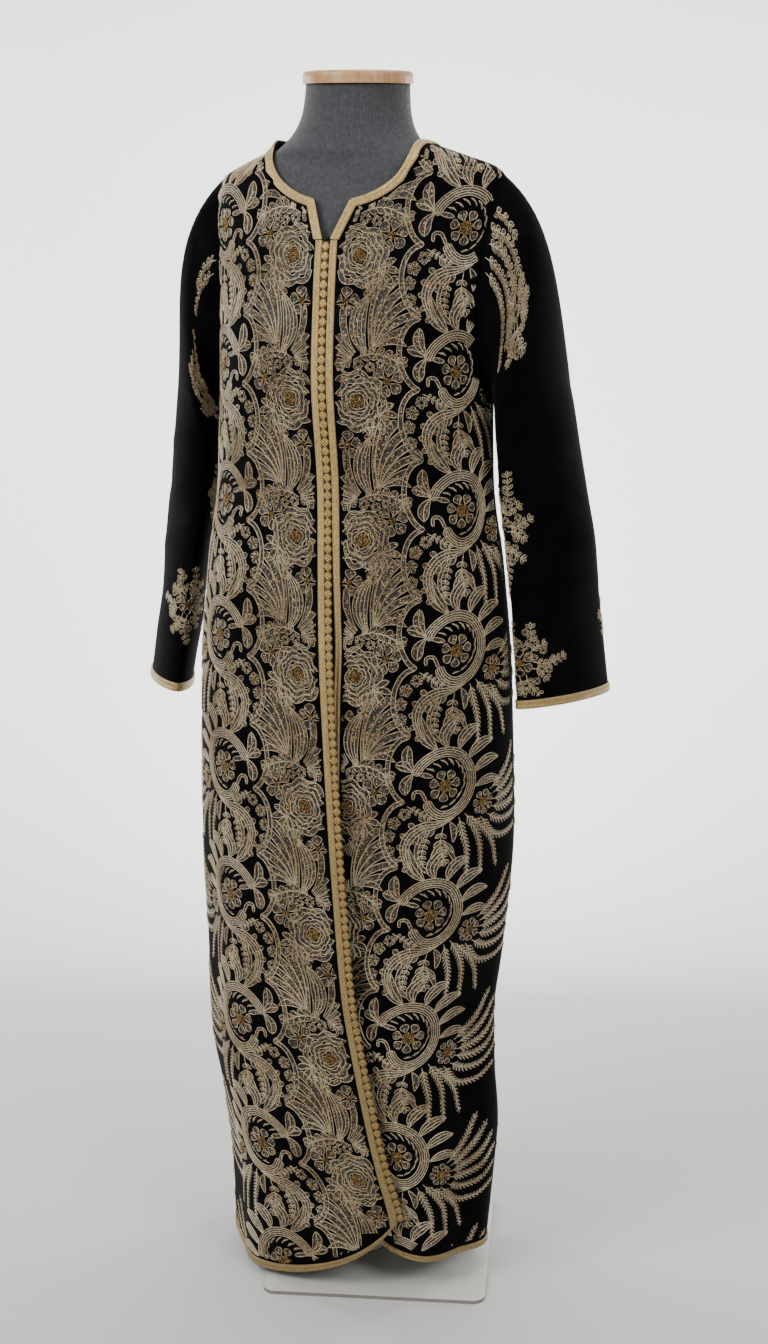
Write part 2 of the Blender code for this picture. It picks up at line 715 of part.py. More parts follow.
def add_form(fabric, wood):
    closed_tube("form_torso", form_rings(), fabric)
    base = NECK[-1][0] + SEAM
    profile = (
        (CAP_RADIUS - 0.002, base),
        (CAP_RADIUS, base + 0.002),
        (CAP_RADIUS, base + CAP_THICK * 0.5),
        (CAP_RADIUS - 0.003, base + CAP_THICK * 0.68),
        (CAP_RADIUS * 0.80, base + CAP_THICK * 0.87),
        (CAP_RADIUS * 0.42, base + CAP_THICK),
    )
    turned_solid("form_cap", profile, (0.0, CAP_CENTRE_Y), wood)


def add_stand(steel):
    foot = PLATE_THICK + SEAM
    turned_solid("stand_pole", ((POLE_RADIUS, foot), (POLE_RADIUS, FORM_FOOT - SEAM)), (0.0, 0.0), steel)
    add_flange(steel)
    add_plate(steel)


def add_flange(steel):
    """The welded collar at the pole's foot, as a ring that clears the pole."""
    foot, head = PLATE_THICK + SEAM, PLATE_THICK + SEAM + FLANGE_THICK
    turns = np.arange(ROUND_SIDES) * 2 * math.pi / ROUND_SIDES
    rings_out, rings_in = [], []
    outside = ((FLANGE_RADIUS, foot), (FLANGE_RADIUS, head - 0.002), (FLANGE_RADIUS - 0.002, head))
    for radius, height in outside:
        rings_out.append([(radius * math.sin(t), -radius * math.cos(t), height) for t in turns])
    for height in (foot, head - 0.002, head):
        radius = POLE_RADIUS + SEAM
        rings_in.append([(radius * math.sin(t), -radius * math.cos(t), height) for t in turns])
    closed_wall("stand_flange", np.array(rings_out), np.array(rings_in), steel, ring=True)


def add_plate(steel):
    """A flat square plate with round corners, turned a little from the garment's front."""
    half = PLATE_SIDE / 2 - PLATE_CORNER
    outline = []
    for quarter in range(4):
        start = quarter * math.pi / 2
        cx, cy = half * (1, -1, -1, 1)[quarter], half * (1, 1, -1, -1)[quarter]
        for step in range(7):
            turn = start + step * math.pi / 12
            outline.append((cx + PLATE_CORNER * math.cos(turn), cy + PLATE_CORNER * math.sin(turn)))
    points = []
    for height in (0.0, PLATE_THICK):
        for x, y in outline:
            turned_x = x * math.cos(PLATE_TURN) - y * math.sin(PLATE_TURN)
            turned_y = x * math.sin(PLATE_TURN) + y * math.cos(PLATE_TURN)
            points.append((turned_x + PLATE_CENTRE[0], turned_y + PLATE_CENTRE[1], height))
    rings = np.array(points).reshape(2, len(outline), 3)
    return closed_tube("stand_plate", rings, steel)


def make_material(name, colour, roughness, metallic=0.0):
    material = bpy.data.materials.new(name)
    material.use_nodes = True
    shader = material.node_tree.nodes["Principled BSDF"]
    shader.inputs["Base Color"].default_value = (*colour, 1)
    shader.inputs["Roughness"].default_value = roughness
    shader.inputs["Metallic"].default_value = metallic
    material.diffuse_color = (*colour, 1)
    return material


def build():
    clear_scene()
    velvet = make_material("black_velvet", (0.010, 0.010, 0.012), 0.95)
    gold = make_material("gold_braid", (0.52, 0.36, 0.13), 0.45, 0.4)
    jersey = make_material("charcoal_jersey", (0.035, 0.035, 0.038), 0.90)
    wood = make_material("beech_wood", (0.56, 0.34, 0.17), 0.45)
    steel = make_material("white_steel", (0.62, 0.61, 0.58), 0.40)

    right, left, back = front_grid("right"), front_grid("left"), back_grid()
    add_panel("front_right", right, velvet)
    add_panel("front_left", left, velvet, under=True)
    add_panel("back", back, velvet)
    for side in ("right", "left"):
        add_sleeve(side, velvet, gold)
    add_edge_braid("right", right, gold)
    add_edge_braid("left", left, gold)
    add_back_hem_braid(back, gold)
    add_neck_braid(gold)
    add_button_row(right, gold)
    add_form(jersey, wood)
    add_stand(steel)


build()
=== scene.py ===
# A Moroccan kaftan of black velvet, couched all over with taupe cord and edged with gold braid, on a
# headless dress form. The file follows the order in which the piece is put together.

import math

import bpy
import numpy as np
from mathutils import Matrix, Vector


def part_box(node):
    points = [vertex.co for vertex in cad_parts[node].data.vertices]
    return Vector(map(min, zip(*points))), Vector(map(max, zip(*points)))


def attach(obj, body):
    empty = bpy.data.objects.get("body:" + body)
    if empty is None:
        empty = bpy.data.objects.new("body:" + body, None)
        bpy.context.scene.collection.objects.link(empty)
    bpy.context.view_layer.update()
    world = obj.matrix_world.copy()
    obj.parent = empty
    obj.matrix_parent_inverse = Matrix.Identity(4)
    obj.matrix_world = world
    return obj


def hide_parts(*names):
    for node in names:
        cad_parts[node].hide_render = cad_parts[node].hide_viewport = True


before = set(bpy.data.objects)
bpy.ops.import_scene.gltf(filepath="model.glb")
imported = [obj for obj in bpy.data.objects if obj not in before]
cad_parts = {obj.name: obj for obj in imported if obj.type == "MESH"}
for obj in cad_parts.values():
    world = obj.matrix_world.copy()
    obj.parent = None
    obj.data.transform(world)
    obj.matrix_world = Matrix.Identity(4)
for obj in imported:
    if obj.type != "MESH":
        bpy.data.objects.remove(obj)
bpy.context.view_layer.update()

# Camera
# A short telephoto stands 2.6 m away at chest height, turned 20 degrees to the wearer's left of the
# front and tipped 14 degrees down, so that the stand's plate shows under the hem.
CAMERA_DISTANCE = 2.6
CAMERA_HEIGHT = 1.45
CAMERA_SHIFT = 0.037
CAMERA_LENS = 56.25
camera_turn, camera_tip = math.radians(20), math.radians(14)
bpy.ops.object.camera_add(
    location=(
        CAMERA_DISTANCE * math.sin(camera_turn) + CAMERA_SHIFT * math.cos(camera_turn),
        -CAMERA_DISTANCE * math.cos(camera_turn) + CAMERA_SHIFT * math.sin(camera_turn),
        CAMERA_HEIGHT,
    ),
    rotation=(math.pi / 2 - camera_tip, 0, camera_turn),
)
camera = bpy.context.object
camera.data.sensor_fit = "AUTO"
camera.data.sensor_width = 36
camera.data.lens = CAMERA_LENS
bpy.context.scene.camera = camera


# Stand: the plate, the pole and its welded collar
# Mild steel, cut and turned, then powder coated in a warm white. The coat is matt, with a very fine
# orange peel, and its low upright faces carry a grey line of painted shade.
# Below this height, upright faces get a grey line of painted shade
SHADED_EDGE_BELOW = 0.007


def linear(hex_code):
    """An sRGB hex colour as Blender's linear values."""
    values = [int(hex_code[k:k + 2], 16) / 255 for k in (1, 3, 5)]
    return (*[v / 12.92 if v <= 0.04045 else ((v + 0.055) / 1.055) ** 2.4 for v in values], 1.0)


class Look:
    """A material with its Principled shader, to which nodes are added one at a time."""

    def __init__(self, name, inputs):
        self.material = bpy.data.materials.new(name)
        self.material.use_nodes = True
        self.tree = self.material.node_tree
        self.shader = self.tree.nodes["Principled BSDF"]
        for name, value in inputs.items():
            self.shader.inputs[name].default_value = value

    def add(self, kind, inputs=(), out=0, **settings):
        """An output of a new node. Each input gets a value or the socket that feeds it."""
        node = self.tree.nodes.new("ShaderNode" + kind)
        for name, value in settings.items():
            setattr(node, name, value)
        for name, value in dict(inputs).items():
            if isinstance(value, bpy.types.NodeSocket):
                self.tree.links.new(value, node.inputs[name])
            else:
                node.inputs[name].default_value = value
        return node.outputs[out]

    def place(self):
        return self.add("TexCoord", out="Object")

    def split(self, vector):
        """The X, Y and Z of a vector."""
        return self.add("SeparateXYZ", {"Vector": vector}).node.outputs

    def noise(self, place, scale, detail, **more):
        return self.add("TexNoise", {"Vector": place, "Scale": scale, "Detail": detail, **more}, "Fac")

    def calculate(self, operation, *values):
        return self.add("Math", dict(enumerate(values)), operation=operation)

    def span(self, value, low, high, start=0.0, end=1.0, kind="LINEAR"):
        """A value between low and high, stretched to lie between start and end."""
        inputs = {"Value": value, "From Min": low, "From Max": high, "To Min": start, "To Max": end}
        return self.add("MapRange", inputs, interpolation_type=kind)

    def mix_colours(self, share, first, second):
        return self.add("Mix", {0: share, 6: first, 7: second}, 2, data_type="RGBA")

    def ramp(self, factor, *stops):
        """A colour by stops of a place and a hex colour."""
        colour = self.add("ValToRGB", {"Fac": factor})
        ramp = colour.node.color_ramp
        while len(ramp.elements) < len(stops):
            ramp.elements.new(0.5)
        for element, (position, shade) in zip(ramp.elements, stops):
            element.position = position
            element.color = linear(shade)
        return colour

    def finish(self, colour, rise=None, strength=0.0, distance=0.0):
        """The material, once its colour and the rise that makes its bump are linked."""
        self.tree.links.new(colour, self.shader.inputs["Base Color"])
        if rise is not None:
            bump = self.add("Bump", {"Strength": strength, "Distance": distance, "Height": rise})
            self.tree.links.new(bump, self.shader.inputs["Normal"])
        return self.material


# Powder-coated steel: a polyester powder baked to a matt skin, whose pebbling catches a soft glint
look = Look("powder_coated_steel", {"Roughness": 0.52})
place = look.place()
coat = look.ramp(look.noise(place, 9.0, 4.0), (0.30, "#D2D0C7"), (0.70, "#E0DED6"))
# Painted shade: low upright faces are darkened to a grey line, on the plate's edge and the collar's
# lowest 1.7 mm
upright = look.span(look.split(look.add("NewGeometry", out="Normal"))["Z"], 0.55, 0.90, 0.85, 0.0)
low_down = look.calculate("LESS_THAN", look.split(place)["Z"], SHADED_EDGE_BELOW)
edge_shaded_coat = look.mix_colours(look.calculate("MULTIPLY", upright, low_down), coat, linear("#6E6A5E"))
powder = look.finish(edge_shaded_coat, look.noise(place, 900.0, 2.0), 0.15, 0.0002)

for name in ("stand_plate", "stand_pole", "stand_flange"):
    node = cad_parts[name]
    node.data.materials.clear()
    node.data.materials.append(powder)


# Neck cap
# Turned from one piece of beech, with a rounded shoulder, sanded and given two coats of satin
# varnish. The end grain shows as faint rings and the rays as short dark flecks.
def deselect():
    if bpy.context.object and bpy.context.object.mode != "OBJECT":
        bpy.ops.object.mode_set(mode="OBJECT")
    bpy.ops.object.select_all(action="DESELECT")


def apply_place(thing):
    """The object's place goes into its mesh, so that it sits at the origin."""
    deselect()
    thing.select_set(True)
    bpy.context.view_layer.objects.active = thing
    bpy.ops.object.transform_apply(location=True, rotation=True, scale=True)


look = Look("varnished_beech", {"Roughness": 0.38, "Coat Weight": 0.25, "Coat Roughness": 0.3})
stretch = look.add("Mapping", {"Scale": (1.0, 9.0, 1.0), "Vector": look.place()})
grain = look.noise(stretch, 30.0, 6.0, Distortion=0.6)
tone = look.ramp(grain, (0.25, "#B07C4C"), (0.50, "#C9986A"), (0.75, "#D9AE80"))
beech = look.finish(tone, grain, 0.2, 0.0002)

low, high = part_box("form_cap")
cap_radius, cap_height = (high.x - low.x) / 2, high.z - low.z
deselect()
bpy.ops.mesh.primitive_cylinder_add(
    vertices=96, radius=cap_radius, depth=cap_height,
    location=((low.x + high.x) / 2, (low.y + high.y) / 2, (low.z + high.z) / 2),
)
neck_cap = bpy.context.object
neck_cap.name = "neck_cap"
bpy.ops.object.mode_set(mode="EDIT")
bpy.ops.mesh.select_all(action="DESELECT")
bpy.ops.object.mode_set(mode="OBJECT")
for face in neck_cap.data.polygons:
    face.select = face.normal.z > 0.9
bpy.ops.object.mode_set(mode="EDIT")
bpy.ops.mesh.bevel(offset=cap_height * 0.48, segments=8, profile=0.62, affect="EDGES")
bpy.ops.object.mode_set(mode="OBJECT")
apply_place(neck_cap)
neck_cap.data.materials.append(beech)
bpy.ops.object.shade_smooth_by_angle(angle=math.radians(40))
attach(neck_cap, "root")
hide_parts("form_cap")


# Dress form
# A hard moulded torso with a charcoal cotton jersey pulled over it and drawn tight, so it shows no
# folds. The knit's ribs run down the body, and the neck is trimmed flush under the wooden cap.
look = Look("cotton_jersey_charcoal", {"Roughness": 0.88, "Sheen Weight": 0.25, "Sheen Roughness": 0.5})
place = look.place()
# The knit's ribs are 0.6 mm apart on a real jersey, and drawn 1.6 mm apart so that they show
ribs = look.add(
    "TexWave", {"Scale": 200.0, "Distortion": 1.5, "Detail": 1.0, "Vector": place}, "Fac",
    bands_direction="X",
)
knit = look.add("Mix", {0: 0.6, 2: ribs, 3: look.noise(place, 220.0, 3.0)}, data_type="FLOAT")
tone = look.ramp(knit, (0.25, "#2C2D30"), (0.55, "#3F4043"), (0.80, "#54555A"))
jersey = look.finish(tone, knit, 0.35, 0.0004)

torso_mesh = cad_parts["form_torso"].data.copy()
dress_form = bpy.data.objects.new("dress_form", torso_mesh)
bpy.context.scene.collection.objects.link(dress_form)
deselect()
dress_form.select_set(True)
bpy.context.view_layer.objects.active = dress_form
bpy.ops.object.mode_set(mode="EDIT")
bpy.ops.mesh.select_all(action="SELECT")
bpy.ops.mesh.remove_doubles(threshold=0.00005)
bpy.ops.mesh.tris_convert_to_quads()
bpy.ops.object.mode_set(mode="OBJECT")
low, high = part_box("form_torso")
crease = torso_mesh.attributes.new("crease_edge", "FLOAT", "EDGE")
for edge in torso_mesh.edges:
    ends = [torso_mesh.vertices[v].co.z for v in edge.vertices]
    rim = all(abs(z - high.z) < 1e-4 for z in ends) or all(abs(z - low.z) < 1e-4 for z in ends)
    crease.data[edge.index].value = 1.0 if rim else 0.0
smooth = dress_form.modifiers.new("smooth", "SUBSURF")
smooth.levels = smooth.render_levels = 2
bpy.ops.object.modifier_apply(modifier="smooth")
dress_form.data.materials.clear()
dress_form.data.materials.append(jersey)
bpy.ops.object.shade_smooth_by_angle(angle=math.radians(50))
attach(dress_form, "root")
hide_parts("form_torso")


# Velvet fronts
# Black cotton velvet, cut in two fronts from the shoulder to the hem. Its short pile swallows the
# light, except where it is brushed over and greys a little on the slopes of the folds.
WALL = 0.0022
SEAM = 0.0003
HEM = 0.010
HEM_TILT = 0.028
HEM_LOWEST = math.radians(-38)
HEM_SPREAD = math.radians(100)
HEM_BRAID = 0.011
PANEL_TOP = 1.4585
UNDERARM = 1.150
SHOULDER_TIP = 1.420
ARMHOLE_HALF_DEPTH = 0.052
ARMHOLE_GAP = 0.0005
NOTCH_FOOT = 1.345
NOTCH_HEAD = 1.390
NOTCH_HALF_WIDTH = 0.0215
NECK_HALF_WIDTH = 0.091
NECK_SHIFT = -0.005
BACK_NECK_DROP = 0.0155
BACK_DROP_FROM = 1.300
BUTTON_BAND = 0.0084
BRAID = 0.009
HEM_RISE = {"right": 0.076, "left": 0.060}
HEM_RISE_ANGLE = math.radians(17)
HEM_RISE_FROM = 0.300
RECESS_ANGLE = math.radians(31)
FRONT_COLUMNS, BACK_COLUMNS = 66, 112

# Sections of the worn body: half width, middle, and y at the front, the back and the sides
BODY = (
    (0.000, 0.169, 0.008, -0.131, 0.121, 0.000),
    (0.140, 0.178, 0.011, -0.136, 0.125, 0.000),
    (0.210, 0.185, 0.009, -0.138, 0.127, 0.000),
    (0.300, 0.190, -0.002, -0.140, 0.128, 0.000),
    (0.370, 0.191, -0.004, -0.141, 0.129, 0.000),
    (0.450, 0.197, 0.000, -0.143, 0.130, 0.000),
    (0.620, 0.208, 0.004, -0.146, 0.131, 0.000),
    (0.800, 0.205, 0.001, -0.141, 0.126, 0.002),
    (0.950, 0.193, 0.000, -0.127, 0.108, 0.004),
    (1.060, 0.178, 0.000, -0.119, 0.100, 0.008),
    (1.170, 0.174, 0.000, -0.127, 0.108, 0.014),
    (1.280, 0.180, 0.000, -0.108, 0.114, 0.024),
    (1.345, 0.186, 0.000, -0.090, 0.112, 0.030),
    (1.390, 0.188, 0.000, -0.071, 0.104, 0.032),
    (1.416, 0.180, 0.003, -0.060, 0.095, 0.029),
    (1.431, 0.158, 0.011, -0.056, 0.088, 0.021),
    (1.445, 0.121, 0.009, -0.053, 0.077, 0.009),
    (1.4595, 0.0900, -0.005, -0.051, 0.068, -0.001),
)
# The middle of the placket: height, x
PLACKET = (
    (0.000, 0.112), (0.114, 0.104), (0.178, 0.089), (0.248, 0.074), (0.331, 0.059), (0.412, 0.047),
    (0.545, 0.038), (0.675, 0.030), (0.800, 0.022), (0.925, 0.015), (1.165, 0.008), (1.345, 0.000),
)
# Where the left front passes behind the right one: height, recess, underlap
CROSSING = (
    (0.000, 0.027, 0.050), (0.200, 0.036, 0.050), (0.350, 0.040, 0.045), (0.500, 0.032, 0.035),
    (0.650, 0.022, 0.020), (0.800, 0.012, 0.006), (0.880, 0.007, 0.000), (0.950, 0.003, 0.000),
    (1.020, 0.000, 0.000),
)
SEAM_TURN = ((0.0, 22.0), (0.1, 19.0), (0.3, 12.0), (0.5, 7.0), (0.8, 2.0), (1.1, 0.0))
# The folds fade out at the waist, and over the chest shallow ones come back
WAIST = 1.02
CHEST_FROM, CHEST_TO, CHEST_FADE = 1.05, 1.34, 0.08
# Main folds: angle at the top and at the hem, half width in degrees, depth, start, full
FOLDS = (
    (-30, -32, 24, 0.014, 0.80, 0.15),
    (-58, -50, 10, -0.006, 0.80, 0.35),
    (-84, -78, 11, 0.007, 0.90, 0.40),
    (-112, -106, 11, -0.009, 0.95, 0.45),
    (-138, -134, 11, 0.010, 1.00, 0.50),
    (-161, -160, 10, -0.012, 1.00, 0.45),
    (180, 182, 10, 0.010, 1.02, 0.50),
    (160, 158, 10, -0.011, 0.98, 0.45),
    (137, 134, 11, 0.010, 1.00, 0.50),
    (112, 110, 11, -0.008, 0.95, 0.45),
    (88, 84, 10, 0.006, 0.75, 0.30),
    (58, 66, 9, -0.005, 0.50, 0.22),
    (-44, -44, 16, 0.004, 1.33, 1.20),
    (44, 44, 16, 0.004, 1.33, 1.20),
)
# Small creases, given one by one: angle, height, half angle, half height, slant in degrees a metre, out
CREASES = (
    (66, 1.075, 7, 0.075, 90, 0.0020),
    (78, 1.030, 6, 0.090, 60, -0.0018),
    (-64, 1.065, 7, 0.085, -80, 0.0019),
    (-77, 1.020, 6, 0.080, -60, -0.0017),
    (30, 0.960, 8, 0.110, 25, 0.0012),
    (-24, 0.900, 7, 0.120, -20, -0.0011),
    (52, 0.700, 6, 0.160, 12, -0.0016),
    (40, 0.380, 6, 0.140, 10, 0.0017),
    (-14, 0.560, 7, 0.150, -8, 0.0014),
    (-66, 0.520, 6, 0.170, 6, 0.0017),
    (-40, 0.210, 5, 0.110, 5, -0.0016),
    (76, 0.230, 5, 0.120, -8, 0.0018),
    (104, 1.060, 7, 0.080, 70, -0.0019),
    (-106, 1.050, 7, 0.085, -75, 0.0020),
    (150, 1.120, 9, 0.070, 40, 0.0015),
    (-149, 1.090, 9, 0.075, -45, -0.0014),
    (172, 1.010, 8, 0.100, 0, -0.0013),
    (-170, 0.760, 6, 0.180, 5, 0.0016),
    (126, 0.640, 6, 0.160, -6, -0.0018),
    (-124, 0.600, 6, 0.170, 8, 0.0017),
    (147, 0.300, 5, 0.130, 4, 0.0018),
    (-148, 0.260, 5, 0.140, -5, -0.0018),
)


def curve_through(points):
    """A smooth curve through (place, value) points that never overshoots them."""
    place, value = np.array(sorted(points), float).T
    step = np.diff(place)
    slope = np.diff(value) / step
    tangent = np.zeros_like(value)
    total = np.where(slope[:-1] + slope[1:] == 0, 1.0, slope[:-1] + slope[1:])
    tangent[1:-1] = np.where(slope[:-1] * slope[1:] > 0, 2 * slope[:-1] * slope[1:] / total, 0.0)
    tangent[0], tangent[-1] = slope[0], slope[-1]

    def read(at):
        at = np.clip(at, place[0], place[-1])
        k = np.clip(np.searchsorted(place, at) - 1, 0, len(step) - 1)
        t = (at - place[k]) / step[k]
        start = value[k] * (1 + 2 * t) * (1 - t) ** 2 + tangent[k] * step[k] * t * (1 - t) ** 2
        end = value[k + 1] * t * t * (3 - 2 * t) + tangent[k + 1] * step[k] * t * t * (t - 1)
        return start + end

    return read


def columns_of(table):
    return [curve_through([(row[0], row[k]) for row in table]) for k in range(1, len(table[0]))]


half_width, middle_x, front_y, back_y, side_y = columns_of(BODY)
(placket_x,) = columns_of(PLACKET)
recess_depth, underlap = columns_of(CROSSING)
(seam_turn,) = columns_of(SEAM_TURN)


def smooth_step(t):
    t = np.clip(t, 0, 1)
    return t * t * (3 - 2 * t)


def angle_between(angle, centre):
    return (angle - centre + math.pi) % (2 * math.pi) - math.pi


def fold_offset(angle, height):
    """How far the folds and the creases move the cloth out."""
    out = np.zeros(np.broadcast(angle, height).shape)
    for top, hem, half, depth, start, full in FOLDS:
        down = np.clip((start - height) / start, 0, 1)
        across = angle_between(angle, np.radians(top + (hem - top) * down)) / math.radians(half)
        out = out + depth * np.exp(-across * across) * smooth_step((start - height) / (start - full))
    chest = smooth_step((height - CHEST_FROM) / CHEST_FADE)
    chest = chest * smooth_step((CHEST_TO - height) / CHEST_FADE)
    out = out * np.where(height > WAIST, chest, 1.0)
    for centre, level, half, tall, slant, depth in CREASES:
        along = (height - level) / tall
        across = angle_between(angle, np.radians(centre + slant * (height - level)))
        across = across / math.radians(half)
        out = out + depth * np.exp(-across * across - along * along)
    return out


def edge_x(height):
    return placket_x(height) - BUTTON_BAND / 2


def under_edge_x(height):
    return edge_x(height) + SEAM - underlap(height)


def angle_at(x, height):
    return np.arcsin(np.clip((x - middle_x(height)) / half_width(height), -1, 1))


def cloth_point(angle, height, under=False):
    """A point on the garment's outer face. Angle 0 is the middle of the front and +90 the left side."""
    height = np.asarray(height, float)
    wide, side = half_width(height), side_y(height)
    deep = np.where(np.cos(angle) > 0, side - front_y(height), back_y(height) - side)
    out = fold_offset(angle, height)
    if under:
        from_edge = (angle - angle_at(under_edge_x(height), height)) / RECESS_ANGLE
        out = out - recess_depth(height) * (1 - smooth_step(from_edge))
    facing = np.stack([np.sin(angle) / wide, -np.cos(angle) / deep], -1)
    facing = facing / np.linalg.norm(facing, axis=-1, keepdims=True)
    x = middle_x(height) + wide * np.sin(angle) + out * facing[..., 0]
    y = side - deep * np.cos(angle) + out * facing[..., 1]
    return np.stack([x, y, np.broadcast_to(height, x.shape)], -1)


def cloth_slopes(angle, height, under=False):
    d = 1e-4
    round_body = cloth_point(angle + d, height, under) - cloth_point(angle - d, height, under)
    up = cloth_point(angle, height + d, under) - cloth_point(angle, height - d, under)
    return round_body / (2 * d), up / (2 * d)


def unit(vectors):
    return vectors / np.linalg.norm(vectors, axis=-1, keepdims=True)


def run_along(points):
    """The length of a line of points up to each of them."""
    return np.concatenate([[0], np.cumsum(np.linalg.norm(np.diff(points, axis=0), axis=1))])


def neck_drop(angle):
    """How far the neck's edge dips round the back."""
    return BACK_NECK_DROP * np.sin(np.clip(angle - math.pi / 2, 0, math.pi)) ** 2


def cloth_normal(angle, height, under):
    return unit(np.cross(*cloth_slopes(angle, height, under)))


def cloth_skin(angle, height, out, under=False):
    """The cloth's outer face moved along its own normal."""
    move = cloth_normal(angle, height, under) * np.asarray(out)[..., None]
    return cloth_point(angle, height, under) + move


def turn_for(width, angle, height, under=False):
    """The turn round the body that spans a width of cloth."""
    return width / np.linalg.norm(cloth_slopes(angle, height, under)[0], axis=-1)


def armhole_half_depth(height, shrink):
    middle, half = (UNDERARM + SHOULDER_TIP) / 2, (SHOULDER_TIP - UNDERARM) / 2 - shrink
    share = np.clip((height - middle) / half, -1, 1)
    return (ARMHOLE_HALF_DEPTH - shrink) * np.sqrt(1 - share * share)


def armhole_angle(height, behind, shrink=0.0):
    reach = armhole_half_depth(height, shrink)
    if behind:
        return math.pi - np.arccos(reach / (back_y(height) - side_y(height)))
    return np.arccos(reach / (side_y(height) - front_y(height)))


def neck_x(height, sign):
    if height < NOTCH_HEAD:
        up = (height - NOTCH_FOOT) / (NOTCH_HEAD - NOTCH_FOOT)
        return sign * (BUTTON_BAND / 2 + (NOTCH_HALF_WIDTH - BUTTON_BAND / 2) * up)
    rest = 1 - (height - NOTCH_HEAD) / (PANEL_TOP - NOTCH_HEAD)
    round_neck = NECK_HALF_WIDTH * math.sqrt(max(0.0, 1 - rest * rest))
    return sign * max(NOTCH_HALF_WIDTH, round_neck) + NECK_SHIFT * (1 - rest)


def front_limits(side, height):
    """The angles where a front starts, at edge or neck, and ends, at its seam or the armhole."""
    under = side == "left"
    sign = 1 if under else -1
    if height <= NOTCH_FOOT:
        start = angle_at(under_edge_x(height) if under else edge_x(height), height)
    else:
        start = angle_at(neck_x(height, sign), height)
    if UNDERARM < height < SHOULDER_TIP:
        return float(start), float(sign * armhole_angle(height, behind=False))
    seam = math.pi / 2 if under else -math.pi / 2 + math.radians(seam_turn(height))
    return float(start), float(seam - sign * turn_for(SEAM / 2, seam, height))


def hem_rise(angle, height, from_edge=None, rise=0.0):
    """How much higher than its row a point of the skirt is: the hem tilts and lifts at the opening."""
    fade = np.clip((HEM_RISE_FROM - height) / (HEM_RISE_FROM - HEM), 0, 1) ** 2
    lift = HEM_TILT * smooth_step(np.abs(angle_between(angle, HEM_LOWEST)) / HEM_SPREAD)
    if from_edge is not None:
        lift = lift + rise * np.exp(-np.abs(from_edge) / HEM_RISE_ANGLE)
    return lift * fade


def panel_rows():
    """Row heights from hem to neck point, closer together at the armhole's ends and the neck."""
    skirt = np.linspace(HEM + HEM_BRAID, UNDERARM, 176)
    arm = UNDERARM + (SHOULDER_TIP - UNDERARM) * (1 - np.cos(np.linspace(0, math.pi, 54))) / 2
    neck = [NOTCH_FOOT, NOTCH_HEAD, NOTCH_HEAD + 0.002, NOTCH_HEAD + 0.004, NOTCH_HEAD + 0.007]
    shoulder = np.linspace(SHOULDER_TIP, PANEL_TOP, 12)
    rows = np.concatenate([[HEM, HEM + HEM_BRAID / 2], skirt, arm, neck, shoulder])
    rows = np.unique(np.round(rows, 5))
    return rows[np.concatenate([[True], np.diff(rows) > 0.0004])]


def front_line(side, row, widths):
    """Angles and heights of points of a front's row, at widths of cloth from its free edge."""
    under = side == "left"
    start, end = front_limits(side, row)
    edge_height = row + float(hem_rise(start, row, 0.0, HEM_RISE[side]))
    start, _ = front_limits(side, edge_height)
    turn = math.copysign(float(turn_for(1.0, start, edge_height, under)), end - start)
    line = start + turn * np.asarray(widths, float)
    return line, row + hem_rise(line, row, line - start, HEM_RISE[side])


def front_grid(side):
    angles, heights = [], []
    for row in panel_rows():
        _, end = front_limits(side, row)
        edge, _ = front_line(side, row, [0.0])
        line = np.linspace(edge[0], end, FRONT_COLUMNS + 1)
        angles.append(line)
        heights.append(row + hem_rise(line, row, line - line[0], HEM_RISE[side]))
    return np.array(angles), np.array(heights)


def wall_mesh(name, outer, inner, ring=False):
    """A thin closed shell between two grids of points. A ring's columns close on themselves."""
    rows, columns = outer.shape[:2]
    last = columns if ring else columns - 1
    r, c = np.meshgrid(np.arange(rows - 1), np.arange(last), indexing="ij")
    here, right = r * columns + c, r * columns + (c + 1) % columns
    above, corner = here + columns, right + columns
    far = rows * columns
    front = np.stack([here, right, corner, above], -1).reshape(-1, 4)
    faces = [front, front[:, ::-1] + far]
    c = np.arange(last)
    after = (c + 1) % columns
    top = (rows - 1) * columns
    faces.append(np.stack([after, c, c + far, after + far], -1))
    faces.append(np.stack([top + c, top + after, top + after + far, top + c + far], -1))
    if not ring:
        r = np.arange(rows - 1) * columns
        faces.append(np.stack([r, r + columns, r + columns + far, r + far], -1))
        r = r + columns - 1
        faces.append(np.stack([r + columns, r, r + far, r + columns + far], -1))
    mesh = bpy.data.meshes.new(name)
    mesh.from_pydata(np.concatenate([outer.reshape(-1, 3), inner.reshape(-1, 3)]).tolist(), [],
                     np.concatenate(faces).tolist())
    turn_outwards(mesh)
    return mesh


def turn_outwards(mesh):
    """Turns every face of a closed mesh outwards, by the sign of its volume."""
    mesh.calc_loop_triangles()
    corners = np.array([t.vertices for t in mesh.loop_triangles])
    points = np.zeros(len(mesh.vertices) * 3)
    mesh.vertices.foreach_get("co", points)
    a, b, c = points.reshape(-1, 3)[corners].transpose(1, 0, 2)
    if (np.cross(a, b) * c).sum() < 0:
        mesh.flip_normals()


def add_piece(name, mesh, material, sharp=60):
    """A finished piece: its mesh in the frame's place, its material and its body."""
    mesh.materials.append(material)
    mesh.shade_smooth()
    mesh.set_sharp_from_angle(angle=math.radians(sharp))
    piece = bpy.data.objects.new(name, mesh)
    bpy.context.scene.collection.objects.link(piece)
    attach(piece, "root")
    return piece


